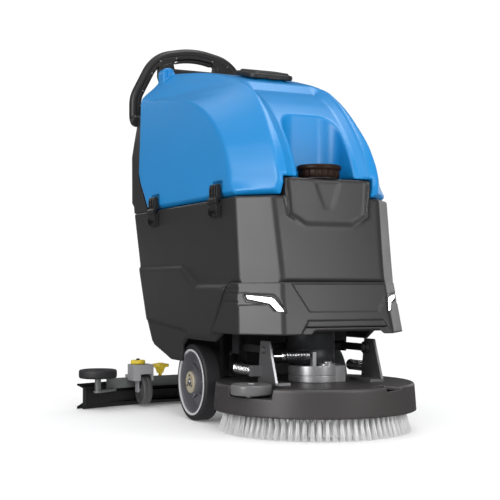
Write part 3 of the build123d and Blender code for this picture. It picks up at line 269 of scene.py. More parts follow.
def weld(verts, faces):
    """Merge equal points and drop faces that vanish."""
    keys = np.round(np.asarray(verts, float), 4)
    unique, back = np.unique(keys, axis=0, return_inverse=True)
    back = back.reshape(-1).tolist()
    rings = [tuple(dict.fromkeys(back[i] for i in face)) for face in faces]
    return unique, [ring for ring in rings if len(ring) > 2]


def rod(radius, low, high, centre=(0, 0, 0), axis="z", segments=32, chamfer=0):
    """Plain cylinder, its high end chamfered."""
    end = [(radius, high - chamfer), (radius - chamfer, high)] if chamfer else [(radius, high)]
    return lathe([(0, low), (radius, low), *end, (0, high)], centre, axis, segments)


def loft(loops, ring=False):
    """Skin between closed loops of equal length; ring joins the last loop to the first."""
    n, last = len(loops[0]), len(loops) - 1
    faces = []
    for a in range(last + ring):
        b = (a + 1) % len(loops)
        for i in range(n):
            j = (i + 1) % n
            faces.append((a * n + i, a * n + j, b * n + j, b * n + i))
    if not ring:
        faces += [tuple(range(n)), tuple(range(last * n, last * n + n))]
    return np.vstack([np.asarray(loop, float) for loop in loops]), faces


def prism(outline, lo, hi, axis="x"):
    """Outline extruded along an axis; the outline gives the other two coordinates in order."""
    place = {
        "x": lambda p, h: (h, p[0], p[1]),
        "y": lambda p, h: (p[0], h, p[1]),
        "z": lambda p, h: (p[0], p[1], h),
    }[axis]
    return loft([[place(p, lo) for p in outline], [place(p, hi) for p in outline]])


def box(x, y, z):
    """Block between a low and a high value along each axis."""
    return prism([(y[0], z[0]), (y[1], z[0]), (y[1], z[1]), (y[0], z[1])], x[0], x[1])


def merged(*parts):
    """Several (verts, faces) as one."""
    verts, faces, start = [], [], 0
    for v, f in parts:
        verts.append(np.asarray(v, float))
        faces += [tuple(i + start for i in face) for face in f]
        start += len(v)
    return np.vstack(verts), faces


def carried(path, start=None):
    """Each point of a path with two directions across it, the first carried along from the start."""
    tangents = np.gradient(path, axis=0)
    tangents /= np.linalg.norm(tangents, axis=1)[:, None]
    side = np.cross(tangents[0], (0.3, 0.2, 0.93)) if start is None else np.array(start, float)
    for p, t in zip(path, tangents):
        side = side - t * side.dot(t)
        side /= np.linalg.norm(side)
        yield p, side, np.cross(t, side)


def tube(path, radius, sides):
    """Round tube along a path."""
    turn = (np.arange(sides) * 2 * math.pi / sides)[:, None]
    return loft([p + radius * (np.cos(turn) * side + np.sin(turn) * up)
                 for p, side, up in carried(np.asarray(path, float))])


def rounded_path(corners, radii, steps):
    """A line through corners whose inner corners are rounded by arcs."""
    corners = [np.array(c, float) for c in corners]
    out = [corners[0]]
    for a, b, c, r in zip(corners, corners[1:], corners[2:], radii):
        u, v = (a - b) / np.linalg.norm(a - b), (c - b) / np.linalg.norm(c - b)
        half = math.acos(np.clip(u.dot(v), -1, 1)) / 2
        reach = r / math.tan(half)
        centre = b + (u + v) / np.linalg.norm(u + v) * (r / math.sin(half))
        start, end = b + u * reach - centre, b + v * reach - centre
        total = math.acos(np.clip(start.dot(end) / r**2, -1, 1))
        for k in range(steps + 1):
            t = k / steps
            out.append(centre + (math.sin((1 - t) * total) * start + math.sin(t * total) * end)
                       / math.sin(total))
    out.append(corners[-1])
    return np.array(out)


def rounded_rectangle(width, depth, radius, steps):
    """Points round a rectangle with rounded corners, about the origin."""
    out = []
    for k, (sx, sy) in enumerate(((1, 1), (-1, 1), (-1, -1), (1, -1))):
        for j in range(steps + 1):
            turn = math.pi / 2 * (k + j / steps)
            out.append((sx * (width / 2 - radius) + radius * math.cos(turn),
                        sy * (depth / 2 - radius) + radius * math.sin(turn)))
    return np.array(out)


# ---- distance fields: moulded shells with rounded edges ----
def smax(a, b, r):
    """Intersection whose edge is rounded by radius r."""
    return np.minimum(-r, np.maximum(a, b)) + np.hypot(np.maximum(a + r, 0), np.maximum(b + r, 0))


def smin(a, b, r):
    """Union whose inner corner is filled by radius r."""
    return -smax(-a, -b, r)


def outline_distance(px, py, points):
    """Signed distance to a closed outline, negative inside."""
    px, py = np.broadcast_arrays(px, py)
    best = np.full(px.shape, np.inf)
    sign = np.ones(px.shape)
    points = np.asarray(points, float)
    for (ax, ay), (bx, by) in zip(points, np.roll(points, 1, axis=0)):
        ex, ey = bx - ax, by - ay
        wx, wy = px - ax, py - ay
        t = np.clip((wx * ex + wy * ey) / (ex * ex + ey * ey), 0, 1)
        best = np.minimum(best, (wx - ex * t)**2 + (wy - ey * t)**2)
        c1, c2, c3 = py >= ay, py < by, ex * wy > ey * wx
        flip = (c1 & c2 & c3) | (~c1 & ~c2 & ~c3)
        sign = np.where(flip, -sign, sign)
    return sign * np.sqrt(best)


def all_of(*fields):
    """Sharp intersection of several fields."""
    return functools.reduce(np.maximum, fields)


def slab(v, lo, hi):
    """Distance outside an interval, negative inside."""
    return np.maximum(lo - v, v - hi)


def round_box(x, y, z, low, high, r):
    """Distance to a box with rounded edges."""
    parts = [np.abs(v - (lo + hi) / 2) - (hi - lo) / 2 + r for v, lo, hi in zip((x, y, z), low, high)]
    inside = np.minimum(all_of(*parts), 0)
    outside = np.sqrt(sum(np.maximum(p, 0)**2 for p in parts))
    return inside + outside - r


SETTLE_TURNS = 3        # rounds of evening out the points and moving them back onto the surface


def shell(field, low, high, cell):
    """Mesh of the field's zero surface: one point per crossed cell, then moved onto the surface."""
    axes = [np.arange(lo, hi + cell, cell) for lo, hi in zip(low, high)]
    grids = np.meshgrid(*axes, indexing="ij", sparse=True)
    value = np.broadcast_to(field(*grids), tuple(len(a) for a in axes)).astype(np.float32)
    shape = tuple(len(a) - 1 for a in axes)
    total = np.zeros(shape + (3,), np.float32)
    count = np.zeros(shape, np.float32)
    corner = {}
    for offset in itertools.product((0, 1), repeat=3):
        corner[offset] = value[tuple(slice(o, o + n) for o, n in zip(offset, shape))]
    for a in corner:
        for axis in range(3):
            if a[axis] == 0:
                b = tuple(1 if k == axis else a[k] for k in range(3))
                va, vb = corner[a], corner[b]
                crossed = (va < 0) != (vb < 0)
                t = np.where(crossed, va / np.where(crossed, va - vb, 1), 0)
                for k in range(3):
                    along = t if k == axis else a[k]
                    total[..., k] += np.where(crossed, along, 0)
                count += crossed
    active = count > 0
    ids = np.full(shape, -1, np.int64)
    ids[active] = np.arange(active.sum())
    where = np.argwhere(active)
    points = (where + total[active] / count[active][:, None]) * cell + np.array(low, float)
    quads = []
    for axis in range(3):
        u, v = [(1, 2), (2, 0), (0, 1)][axis]
        part = [slice(1, n) for n in shape]
        part[axis] = slice(0, shape[axis])
        here = value[tuple(part)]
        part[axis] = slice(1, shape[axis] + 1)
        there = value[tuple(part)]
        for a, b, order in ((here, there, 1), (there, here, -1)):
            crossed = np.argwhere((a < 0) & (b >= 0)) + [int(k != axis) for k in range(3)]
            ring = []
            for su, sv in ((1, 1), (0, 1), (0, 0), (1, 0)):
                step = np.zeros(3, int)
                step[u], step[v] = su, sv
                ring.append(ids[tuple((crossed - step).T)])
            quads.append(np.stack(ring[::order], 1))
    quads = np.vstack(quads)

    def gradient(p):
        out = np.empty_like(p)
        for k in range(3):
            step = np.zeros(3)
            step[k] = 0.4
            ahead, behind = (p + step).T, (p - step).T
            out[:, k] = (field(*ahead) - field(*behind)) / 0.8
        return out

    for turn in range(SETTLE_TURNS):
        if turn:
            total = np.zeros_like(points)
            number = np.zeros(len(points))
            for a, b in ((0, 1), (1, 2), (2, 3), (3, 0)):
                np.add.at(total, quads[:, a], points[quads[:, b]])
                np.add.at(total, quads[:, b], points[quads[:, a]])
                np.add.at(number, quads[:, a], 1)
                np.add.at(number, quads[:, b], 1)
            points = points + 0.5 * (total / np.maximum(number, 1)[:, None] - points)
        for _ in range(2):
            g = gradient(points)
            d = field(*points.T)
            size = np.maximum((g**2).sum(1), 0.05)
            move = -(d / size)[:, None] * g
            reach = np.linalg.norm(move, axis=1)
            limit = np.minimum(1, cell * 0.7 / np.maximum(reach, 1e-9))
            points = points + move * limit[:, None]
    return points, quads


def shell_piece(name, field, low, high, cell, mat, body, stands_for, budget=None):
    """A moulded piece meshed from its distance field, thinned to a budget of faces."""
    verts, faces = shell(field, low, high, cell)
    mesh = bpy.data.meshes.new(name)
    mesh.vertices.add(len(verts))
    mesh.vertices.foreach_set("co", metres(verts).astype(np.float32).ravel())
    mesh.loops.add(faces.size)
    mesh.loops.foreach_set("vertex_index", faces.ravel().astype(np.int32))
    mesh.polygons.add(len(faces))
    mesh.polygons.foreach_set("loop_start", np.arange(0, faces.size, 4, dtype=np.int32))
    mesh.update(calc_edges=True)
    mesh.validate()
    obj = new_object(name, mesh, mat)
    finish_piece(obj, body, stands_for)
    if budget and len(faces) > budget:
        thin = obj.modifiers.new("thin", "DECIMATE")
        thin.ratio = budget / len(faces)


# ---- camera, floor and light ----
camera_data = bpy.data.cameras.new("camera")
camera_data.lens = 79.03
camera_data.sensor_width = 36
camera_data.shift_y = 0.0729
camera_data.clip_end = 50
camera = new_object("camera", camera_data)
camera.location = (-1.3119, -2.6697, 0.3532)
camera.rotation_euler = Vector((0.4288, 0.9034, 0)).to_track_quat("-Z", "Y").to_euler()
bpy.context.scene.camera = camera

FLOOR, FLOOR_Z = 14.0, -0.0006      # half its width and its height, in metres
WHITE = (1, 1, 1, 1)
floor_mesh = bpy.data.meshes.new("floor")
floor_mesh.from_pydata([(FLOOR * x, FLOOR * y, FLOOR_Z) for x, y in ((-1, -1), (1, -1), (1, 1), (-1, 1))],
                       [], [(0, 1, 2, 3)])
floor = new_object("floor", floor_mesh)
paint = bpy.data.materials.new("white_floor")
paint.use_nodes = True
for socket, value in (("Base Color", (0.94, 0.94, 0.94, 1)), ("Roughness", 0.7), ("Specular IOR Level", 0.1),
                      ("Emission Color", WHITE), ("Emission Strength", 0.08)):
    paint.node_tree.nodes["Principled BSDF"].inputs[socket].default_value = value
floor_mesh.materials.append(paint)
floor.visible_glossy = False
floor.visible_diffuse = False

# a white backdrop for the camera, an even fill for diffuse light and a dim room for reflections
world = bpy.data.worlds.new("studio")
bpy.context.scene.world = world
world.use_nodes = True
tree = world.node_tree
backdrop = tree.nodes["Background"]
backdrop.inputs["Color"].default_value = WHITE
backdrop.inputs["Strength"].default_value = 1.05
fill = add_node(tree, "Background", Color=WHITE, Strength=1.07)
rays = add_node(tree, "LightPath")
dim = add_node(tree, "Background", Strength=0.15)
seen_in_gloss = add_node(tree, "MixShader", [
    (rays, "Is Glossy Ray", "Fac"), (fill, "Background", 1), (dim, "Background", 2)])
choice = add_node(tree, "MixShader", [
    (rays, "Is Camera Ray", "Fac"), (seen_in_gloss, "Shader", 1), (backdrop, "Background", 2)])
tree.links.new(choice.outputs["Shader"], tree.nodes["World Output"].inputs["Surface"])


def softbox(name, azimuth, distance, height, aim_z, width, tall, radiance, diffuse=False, glossy=True):
    """A softbox at an azimuth: 0 is the front, negative the machine's right. Most show only as sheen."""
    data = bpy.data.lights.new(name, "AREA")
    data.shape = "RECTANGLE"
    data.size, data.size_y = width, tall
    data.energy = radiance * math.pi * width * tall
    lamp = new_object(name, data)
    turn = math.radians(azimuth)
    lamp.location = (distance * math.sin(turn), -distance * math.cos(turn), height)
    aim = Vector((0, 0, aim_z)) - lamp.location
    lamp.rotation_euler = aim.to_track_quat("-Z", "Y").to_euler()
    lamp.visible_diffuse = diffuse
    lamp.visible_glossy = glossy
    lamp.visible_camera = False


softbox("sheen_left", -66, 3, 1.3, 0.5, 1.3, 2.4, 11.5)
softbox("sheen_side", -92, 2.6, 2, 0.6, 1, 0.9, 2.6)
softbox("sheen_upper", -151, 1.8, 3.2, 0.8, 1.3, 0.9, 2.4)
softbox("sheen_right", 116, 3, 1.3, 0.5, 1.2, 2.2, 1.6)
softbox("sheen_front", 14, 1.4, 0.7, 0.4, 0.3, 0.7, 10)
softbox("sheen_back", -174, 3, 1.6, 0.4, 0.9, 0.5, 2.6)
softbox("sheen_low", -172, 3, 0.4, 0.6, 0.3, 0.4, 2)
softbox("sheen_over", 60, 0.6, 3.4, 0.5, 1.5, 1.5, 9)
softbox("key_top", -20, 2.4, 3, 0.3, 1.6, 1.6, 2.2, diffuse=True)
softbox("key_front", -6, 3, 0.9, 0.4, 1.5, 1.2, 3.8, diffuse=True, glossy=False)
bpy.context.scene.view_settings.view_transform = "Standard"

# ---- outlines shared by the moulded shells ----
TANK_FOOT_Z = 573
RIB_PROFILE = [(-63, 573), (-75, 615), (-45, 690), (12, 765), (65, 817), (106, 847), (145, 870),
               (230, 900), (410, 946), (600, 977), (690, 989)]
RECESS_PROFILE = [(-49, 576), (-60, 616), (-31, 684), (24, 757), (76, 807), (116, 835), (142, 850), (170, 862)]
# height, then in plan: half width, front, and the cut corners' size across and along
TANK_PLAN = level_graphs([
    (573, 215.3, -63, 70, 69),
    (620, 214, -72, 74, 113),
    (690, 212, -45, 76, 117),
    (765, 209.5, 12, 82, 138),
    (817, 208, 65, 86, 175),
    (847, 207, 106, 88, 224),
    (870, 206.5, 145, 90, 310),
    (900, 205.5, 230, 94, 415),
    (948, 163, 410, 54, 255),
    (1001, 112, 670, 8, 20),
])
TANK_SIDE = np.vstack([
    smooth_line(RIB_PROFILE, 5), [(700, 990), (700, 690), (690, 668), (681, 655), (608, 573)]])
RECESS_SIDE = np.vstack([
    smooth_line(RECESS_PROFILE, 4), [(190, 885), (400, 1100), (900, 1100), (900, 400), (-51, 400)]])
LID_Y, LID_Z = 285, 918.5
LID_COS, LID_SIN = math.cos(math.radians(14)), math.sin(math.radians(14))


def lid_space(x, y, z):
    """Coordinates across, up the slope and above the plane under the lid."""
    dy, dz = y - LID_Y, z - LID_Z
    return x, dy * LID_COS + dz * LID_SIN, dz * LID_COS - dy * LID_SIN


def from_lid(points):
    """Lid coordinates back to the machine's."""
    x, y, z = np.asarray(points, float).T
    return np.stack([x, LID_Y + y * LID_COS - z * LID_SIN, LID_Z + y * LID_SIN + z * LID_COS], 1)


def corner_cut(x, y, half, front, cut_x, cut_y):
    """Distance beyond the slanted face between a side and the front, in plan."""
    length = np.hypot(cut_x, cut_y)
    return ((np.abs(x) - half) * cut_y - (y - front - cut_y) * cut_x) / length


LATCH_Y = (113, 551)


def tank_field(x, y, z):
    across = np.abs(x)
    half, *corner = (line(z) for line in TANK_PLAN)
    side = (across - half) * np.where(z > 900, 0.74, 1)
    cut = corner_cut(x, y, half, *corner)
    facet = cut * 0.8
    silhouette = outline_distance(y, z, TANK_SIDE)
    body = smax(smax(side, facet, 5), silhouette, 5)
    # middle panel between two ribs: a short drop at each rib, then a slope down to the panel
    drop = 0.25 * np.clip((113 - across) / 2.5, 0, 1) + 0.75 * np.clip((111 - across) / 20, 0, 1)
    recess = silhouette * (1 - drop) + outline_distance(y, z, RECESS_SIDE) * drop
    body = smax(body, recess, 1.5)
    # deep rounded channel over the filler cap
    channel = round_box(x, y, z, (-79, -400, 300), (79, 52, 819), 44)
    body = smax(body, -channel, 4)
    # undercut lip along the foot
    undercut = 15 - (z - TANK_FOOT_Z) * 1.3
    lip = (across - half + undercut) * 0.6
    lip_facet = (cut + undercut) * 0.6
    body = smax(body, np.where(y > 20, smax(lip, lip_facet, 2), lip_facet), 1)
    # notch over the raised filler panel
    notch = all_of(across - 124, y - 50, z - 618)
    body = smax(body, -notch, 3)
    # latch recesses
    for latch_y in LATCH_Y:
        hollow = round_box(x, y, z, (-260, latch_y - 31, 540), (-205, latch_y + 31, 614), 4)
        body = smax(body, -hollow, 2)
    # round-topped posts beside the dashboard
    post = smax(round_box(across, 0, z, (118, -20, 850), (154, 20, 1000), 15), slab(y, 645, 690), 4)
    groove = np.maximum(np.hypot(across - 138, y - 644) - 3.5, 940 - z)
    body = smin(body, smax(post, -groove, 1.5), 4)
    # opening under the lid
    u, v, w = lid_space(x, y, z)
    collar = np.maximum(round_box(u, v, 0, (-54, -52, -60), (54, 52, 60), 34), slab(w, -40, -0.6))
    body = smin(body, collar, 5)
    mouth = np.maximum(round_box(u, v, 0, (-46, -44, -60), (46, 44, 60), 28), slab(w, -90, 20))
    body = smax(body, -mouth, 1.5)
    return body


shell_piece("recovery_tank_moulding", tank_field, (-232, -92, 562), (232, 716, 1016), 4.5,
            "blue_tank", "recovery_tank", "recovery_tank")

# ---- grey body: the solution tank ----
BODY_PLAN = level_graphs([
    (150, 223, -146, 81, 87), (363.7, 217, -101, 78.6, 79), (570.5, 215.3, -63.3, 70, 69)])
BODY_SIDE = [(-160, 246), (60, 246), (112, 216), (300, 216), (325, 200), (335, 155), (407, 155),
             (534, 189), (553, 201), (594, 260), (675, 414), (729, 570.5), (-160, 570.5)]
CLADDING_SIDE = [(20, 246), (60, 246), (112, 216), (300, 216), (325, 200), (335, 155), (409, 155),
                 (538, 187), (558, 199), (600, 259), (681, 411), (337, 411), (230, 358), (20, 358)]
BUMPER_SIDE = [(-190, 200), (58, 236), (87, 197), (115, 211), (124, 220), (49, 349), (15, 364), (-190, 364)]
*HOLLOW_PLAN, HOLLOW_REAR = level_graphs([
    (140, 214, -128, 80, 86, 538), (201, 213, -118.5, 79, 84, 543),
    (260, 211.5, -109.5, 78, 82, 584), (363.7, 209, -93, 76, 77, 638),
    (562.5, 207.3, -55.3, 68, 67, 716)])
FILLER_OUTLINE = [(-122, 640), (-111, 523), (-66, 496), (66, 496), (111, 523), (122, 640)]
FILLER_RIM = 13       # width of the slope round the filler panel's sunk face
FILLER_SINK = 7
BUMPER_FOOT_Z = 239.1
BUMPER_SEAM_Z = 363.7
bumper_half, bumper_front = level_graphs([
    (180, 234, -140.5), (BUMPER_FOOT_Z, 229.5, -127.8), (BUMPER_SEAM_Z, 220, -101)])
CAP_Y = -22


def plan_solid(x, y, half, front, cut_x, cut_y, r_side, r_front):
    """A slice with two cut front corners and rounded edges."""
    facet = corner_cut(x, y, half, front, cut_x, cut_y)
    return smax(smax(np.abs(x) - half, facet, r_side), front - y, r_front)


def body_field(x, y, z):
    across = np.abs(x)
    outer = plan_solid(x, y, *(line(z) for line in BODY_PLAN), 4, 6)
    outer = smax(outer, outline_distance(y, z, BODY_SIDE), 5)
    # side cladding with its ridge
    clad_half = np.interp(z, (150, 239, 420), (229.5, 229.5, 223))
    edge = outline_distance(y, z, CLADDING_SIDE)
    slope = (across - clad_half + 0.55 * (edge + 12)) * 0.87
    clad = smax(smax(across - clad_half, slope, 1.5), edge, 2)
    crease = outline_distance(y, z, [
        (255, 100), (271, 231), (300, 238), (589, 257), (700, 262), (700, 100)])
    clad = smax(clad, -all_of(across - 240, crease, 222.5 - across), 3)
    outer = smin(outer, clad, 3)
    # room for the bumper
    bumper = smax(outline_distance(y, z, BUMPER_SIDE) - 1.4,
                  -(np.maximum(across - bumper_half(z), bumper_front(z) - y) + 6.5), 1)
    outer = smax(outer, -bumper, 1)
    # filler panel: a raised collar round a sunk face with a shallow V in it
    rim = outline_distance(x, z, FILLER_OUTLINE)
    wedge = outline_distance(x, z, [(-36, 606), (36, 606), (11, 540), (-11, 540)])
    face = (-78 + (z - 496) * 0.05 + FILLER_SINK * np.clip(-rim / FILLER_RIM, 0, 1)
            + 1.4 * np.clip(-wedge / 4, 0, 1))
    panel = smax(smax(rim, np.maximum(face - y, y - 44), 2), z - 614.5, 3)
    outer = smin(smax(outer, -np.maximum(rim + 2, y - face), 1.5), panel, 2.5)
    # hollow, battery well and filler hole
    hollow = plan_solid(x, y, *(line(z) for line in HOLLOW_PLAN), 10, 10)
    hollow = all_of(hollow, y - HOLLOW_REAR(z), z - 562.5) + 4 * np.clip((z - 215) / 30, 0, 1)
    well_wall = all_of(across - 186, slab(y, 92, 593), 292 - z)
    hollow = np.maximum(hollow, -well_wall)
    outer = smax(outer, -hollow, 1.5)
    well = round_box(x, y, z, (-178, 100, 300), (178, 585, 700), 12)
    outer = smax(outer, -well, 2)
    filler = np.maximum(np.hypot(x, y - CAP_Y) - 36, 560 - z)
    return smax(outer, -filler, 1.5)


shell_piece("solution_tank_moulding", body_field, (-240, -125, 145), (240, 748, 624), 5,
            "grey_body", "chassis", "solution_tank", budget=95000)

# ---- bumper with its lamps ----
LAMP_L = [(-41, 6), (29, -0.5), (37, -6), (64, -37), (39, -35), (23, -17), (-34, -6)]
LAMP_FIELD = [(-80, 17), (33, 5), (44, -3), (90, -55), (62, -47), (26, -21), (-80, -13)]


def lamp_frame(side):
    """Origin and directions of the plane on a cut front corner."""
    foot = np.array((side * 188.75, -85.3, BUMPER_FOOT_Z))
    seam = np.array((side * 180.7, -61.5, BUMPER_SEAM_Z))
    across = np.array((-side * 81.5, -85, 0))
    across /= np.linalg.norm(across)
    up = (seam - foot) / np.linalg.norm(seam - foot)
    out = np.cross(across, up)
    out = out if out[1] < 0 else -out
    return foot + (seam - foot) * 0.72, across, up, out


def lamp_coords(side, x, y, z):
    origin, across, up, out = lamp_frame(side)
    dx, dy, dz = x - origin[0], y - origin[1], z - origin[2]
    return tuple(dx * a[0] + dy * a[1] + dz * a[2] for a in (across, up, out))


EMBLEM_PANEL = [(-116, 359), (-76, 293), (114, 292), (156, 359)]
SKIRT = [(-116, 222), (-82, 272), (126, 272), (158, 222)]
SKIRT_INNER = [(-97, 222), (-62, 249), (112, 249), (145, 222)]


def bumper_field(x, y, z):
    half, front = bumper_half(z), bumper_front(z)
    outer = plan_solid(x, y, half, front, 80, 82, 4, 6)
    outer = smax(outer, outline_distance(y, z, BUMPER_SIDE) + 1, 2)
    outer = smax(outer, BUMPER_FOOT_Z - z, 3)
    # sunk panel, open at the top, and the stepped skirt under it
    depth = y - front
    for outline, sink in ((EMBLEM_PANEL, 2.2), (SKIRT, 2.6), (SKIRT_INNER, 6)):
        outer = smax(outer, -np.maximum(outline_distance(x, z, outline), depth - sink), 0.8)
    for side in (-1, 1):
        u, v, w = lamp_coords(side, x, y, z)
        field = np.maximum(outline_distance(u, v, LAMP_FIELD), -w - 2)
        outer = smax(outer, -field, 0.8)
        slot = np.maximum(outline_distance(u, v, LAMP_L) - 2.5, -w - 5)
        outer = smax(outer, -slot, 0.8)
        for line_z in (348, 336, 316):
            groove = all_of(np.abs(z - line_z) - 1.5, half - 1.8 - np.abs(x), slab(y, -26, 44), -side * x)
            outer = smax(outer, -groove, 0.8)
    inner = plan_solid(x, y, half - 5.5, front + 5.5, 78, 80, 8, 8)
    return smax(outer, -np.maximum(inner, -50), 0.8)


shell_piece("bumper_moulding", bumper_field, (-240, -150, 190), (240, 130, 370), 2.6,
            "grey_body", "chassis", "front_bumper", budget=90000)

for side, name in SIDES:
    origin, across, up, out = lamp_frame(side)

    def on_lamp(points, depth):
        return [origin + across * p[0] + up * p[1] + out * depth for p in points]

    flat = rounded_path([(-15, 1.8), (28, -2.2), (35, -7.2), (58, -34.5), (41, -33), (24, -15), (-32, -4),
                         (-37, 3.8), (-15, 1.8)], (1.5,) * 7, 3)[1:-1]
    strip = loft([on_lamp(flat, -4.8), on_lamp(flat, -1.6), on_lamp(flat * (0.97, 0.93) - (0.3, 0.2), -0.8)])
    piece(f"lamp_strip_{name}", *strip, "lamp_white", "chassis",
          "lamp_lenses" if side < 0 else (), slot="lamp_white")
    rim = rounded_path([(-15, 5.6), (30, 1.6), (39, -5), (68, -39), (38, -37), (22, -19), (-36, -8),
                        (-44, 8), (-15, 5.6)], (2,) * 7, 3)[1:-1]
    bezel = loft([on_lamp(rim, -4.9), on_lamp(rim, -2.6), on_lamp(flat, -2.6), on_lamp(flat, -4.9)], ring=True)
    piece(f"lamp_bezel_{name}", *bezel, "black_plastic", "chassis",
          "lamp_housings" if side < 0 else (), slot="black_plastic")

# ---- deck ----
ROLLER_AT = (-205, -65)


def deck_field(x, y, z):
    r = np.hypot(x, y)
    side = r - (250 - (z - 52.3) * 0.075)
    outer = smax(side, z - 119, 6)
    outer = smax(outer, 52.3 - z, 1.5)
    # raised rim line round the top
    outer = smax(outer, -smax(np.abs(r - 228) - 3, 118 - z, 1), 1)
    # stepped flat at the front, left of the middle
    turn = np.arctan2(x, -y)
    step = smax(slab(turn * 240, 60, 118), 112 - z + (turn * 240 - 118) * 0.05, 2)
    outer = smax(outer, -np.maximum(step, 196 - r), 2)
    # open pocket of the guide roller, longer towards the front
    dx, dy = x - ROLLER_AT[0], y - ROLLER_AT[1]
    along = np.clip(dx * 0.3 - dy * 0.95, 0, 34)
    reach = np.hypot(dx - 0.3 * along, dy + 0.95 * along)
    outer = smax(outer, -np.maximum(reach - 53.5, 94.5 - z), 1.5)
    inner = smax(r - 240, z - 110, 8)
    pocket = np.maximum(reach - 57.5, 88 - z)
    inner = np.maximum(inner, -pocket)
    outer = smax(outer, -inner, 1)
    return smax(outer, -(r - 40), 1)


shell_piece("deck_moulding", deck_field, (-256, -256, 48), (256, 256, 124), 3,
            "deck_plastic", "deck", "deck_cover", budget=80000)
pin = merged(
    lathe([(0, 88), (16, 88), (16, 98), (7, 98), (7, 122), (0, 122)], (*ROLLER_AT, 0), segments=40),
    rod(9, 120, 127, (*ROLLER_AT, 0), segments=6, chamfer=1.5))
piece("roller_pin", *pin, "steel_grey", "deck", bevel=0.6)
roller_profile = [(7.1, 99), (42, 99), (46, 99.5), (48.4, 102), (49, 106), (49, 117), (48.4, 121),
                  (46, 123.6), (42, 124.4), (30, 124.4), (28, 123.4), (12, 123.4), (11, 124.4), (7.1, 124.4)]
piece("guide_roller_tyre", *lathe(roller_profile, (*ROLLER_AT, 0), segments=72), "roller_grey",
      "guide_roller", "deck_roller", bevel=0.5)

# ---- brush ----
random.seed(7)


def tufts(rows, strands):
    """Bundles of filaments in rings: each filament is a thin three-sided spike that leans outwards."""
    verts, faces = [], []
    for radius, number, lean in rows:
        for k in range(number):
            turn = 2 * math.pi * (k + random.uniform(-0.06, 0.06)) / number
            out = np.array((math.cos(turn), math.sin(turn), 0))
            along = np.array((-out[1], out[0], 0))
            for _ in range(strands):
                a, b = random.uniform(-1, 1), random.uniform(-1, 1)
                if a * a + b * b > 1:
                    a, b = a * 0.7, b * 0.7
                root = out * (radius + 2.6 * a) + along * 2.6 * b + np.array((0, 0, 60))
                tip = out * (radius + lean + 4.6 * a) + along * 5.6 * b
                tip = tip + np.array((0, 0, random.uniform(0, 2.2)))
                bow = (root + tip) / 2 - out * 1.6
                wide = 0.75
                for p, w in ((root, wide), (bow, wide), (tip, wide * 0.8)):
                    for t in (0.5, 2.6, 4.7):
                        verts.append(p + (out * math.cos(t) + along * math.sin(t)) * w)
                n = len(verts) - 9
                for i in range(3):
                    j = (i + 1) % 3
                    faces.append((n + i, n + j, n + 3 + j, n + 3 + i))
                    faces.append((n + 3 + i, n + 3 + j, n + 6 + j, n + 6 + i))
                faces.append((n, n + 1, n + 2))
                faces.append((n + 6, n + 7, n + 8))
    return np.array(verts), faces


verts, faces = tufts([(219, 84, 14.5), (204, 78, 11), (188, 72, 8), (150, 56, 3)], 34)
piece("brush_tufts", verts, faces, "nylon", "brush", "bristles")
disc = [(10.1, 60), (222, 60), (224, 62), (224, 72), (221, 74), (60, 74), (34, 80), (34, 104), (10.1, 104)]
piece("brush_plate", *lathe(disc), "deck_plastic", "brush", "brush_disc", bevel=0.8)

# ---- drive wheels ----
WHEEL = (294, 100.7)      # y, z of the axle
SPOKES = 5
for side, name in SIDES:
    body = f"drive_wheel_{name}"

    def spun(profile, segments, y=WHEEL[0], z=WHEEL[1]):
        return lathe([(r, side * x) for r, x in profile], (0, y, z), "x", segments)

    tread = [(86, 165), (95, 165), (99, 166.5), (100.5, 169.5), (100.7, 172), (100.7, 203), (100.3, 206),
             (98.5, 208.6), (95, 209.8), (92, 210), (91, 209.2), (88, 209.2), (86, 209.6)]
    piece(f"tyre_tread_{name}", *spun(tread, 128), "tyre_rubber", body, f"tyre_{name}")
    rim = [(13, 166), (30, 166), (32, 166.5), (72, 166.5), (75, 166), (86, 166), (86, 208.6), (82, 208.6),
           (80.5, 206), (79, 196), (77, 178), (74, 173), (50, 171), (36, 171), (33, 173),
           (31.5, 178), (30.5, 207), (29.5, 209.4), (28, 210), (13, 210)]
    # the dish and its ribs take the darkened rim grey: painted shade for the shadowed inside of the wheel
    piece(f"rim_dish_{name}", *spun(rim, 96), "rim_grey", body, f"rim_{name}")
    # the lip ring gets the lighter material: a painted highlight standing in for the sheen on the rim's edge
    lip = [(81.2, 205), (85.5, 205), (87.2, 208.6), (87.2, 210.6), (85.6, 211.4), (82.6, 211.2), (81.4, 209.8)]
    piece(f"rim_lip_{name}", *spun(lip, 128), "rim_lip", body, slot="fork_grey")
    ribs = []
    outline = [(30, 170), (78, 170), (78, 184), (72, 178), (50, 176), (34, 190), (30, 196)]
    for k in range(SPOKES):
        turn = math.radians(34) + 2 * math.pi * k / SPOKES
        c, s = math.cos(turn), math.sin(turn)
        ribs.append(loft([[(side * x, WHEEL[0] + r * c - half * s, WHEEL[1] + r * s + half * c)
                           for r, x in outline] for half in (-2, 2)]))
    piece(f"rim_ribs_{name}", *merged(*ribs), "rim_grey", body, bevel=1.2, slot="fork_grey")
    cap = [(0, 209), (27, 209), (28.5, 210), (28.5, 212.5), (27, 214), (21, 214.6), (19, 213.6), (0, 213.6)]
    piece(f"hub_face_{name}", *spun(cap, 64), "hub_cream", body, f"hub_cap_{name}")
    head = merged(spun([(0, 213), (10, 213), (10, 214.8), (0, 214.8)], 32),
                  spun([(0, 214), (7.4, 214), (7.4, 217), (6.4, 218), (0, 218)], 6))
    piece(f"axle_bolt_{name}", *head, "steel_grey", body, bevel=0.4, slot="steel_grey")
    for k in range(3):
        turn = math.radians(90 + 120 * k)
        stud = spun([(0, 213), (2.6, 213), (2.6, 215.6), (0, 215.6)], 6,
                    WHEEL[0] + 18 * math.cos(turn), WHEEL[1] + 18 * math.sin(turn))
        piece(f"hub_screw_{name}_{k + 1}", *stud, "steel_dark", body, slot="steel_dark")

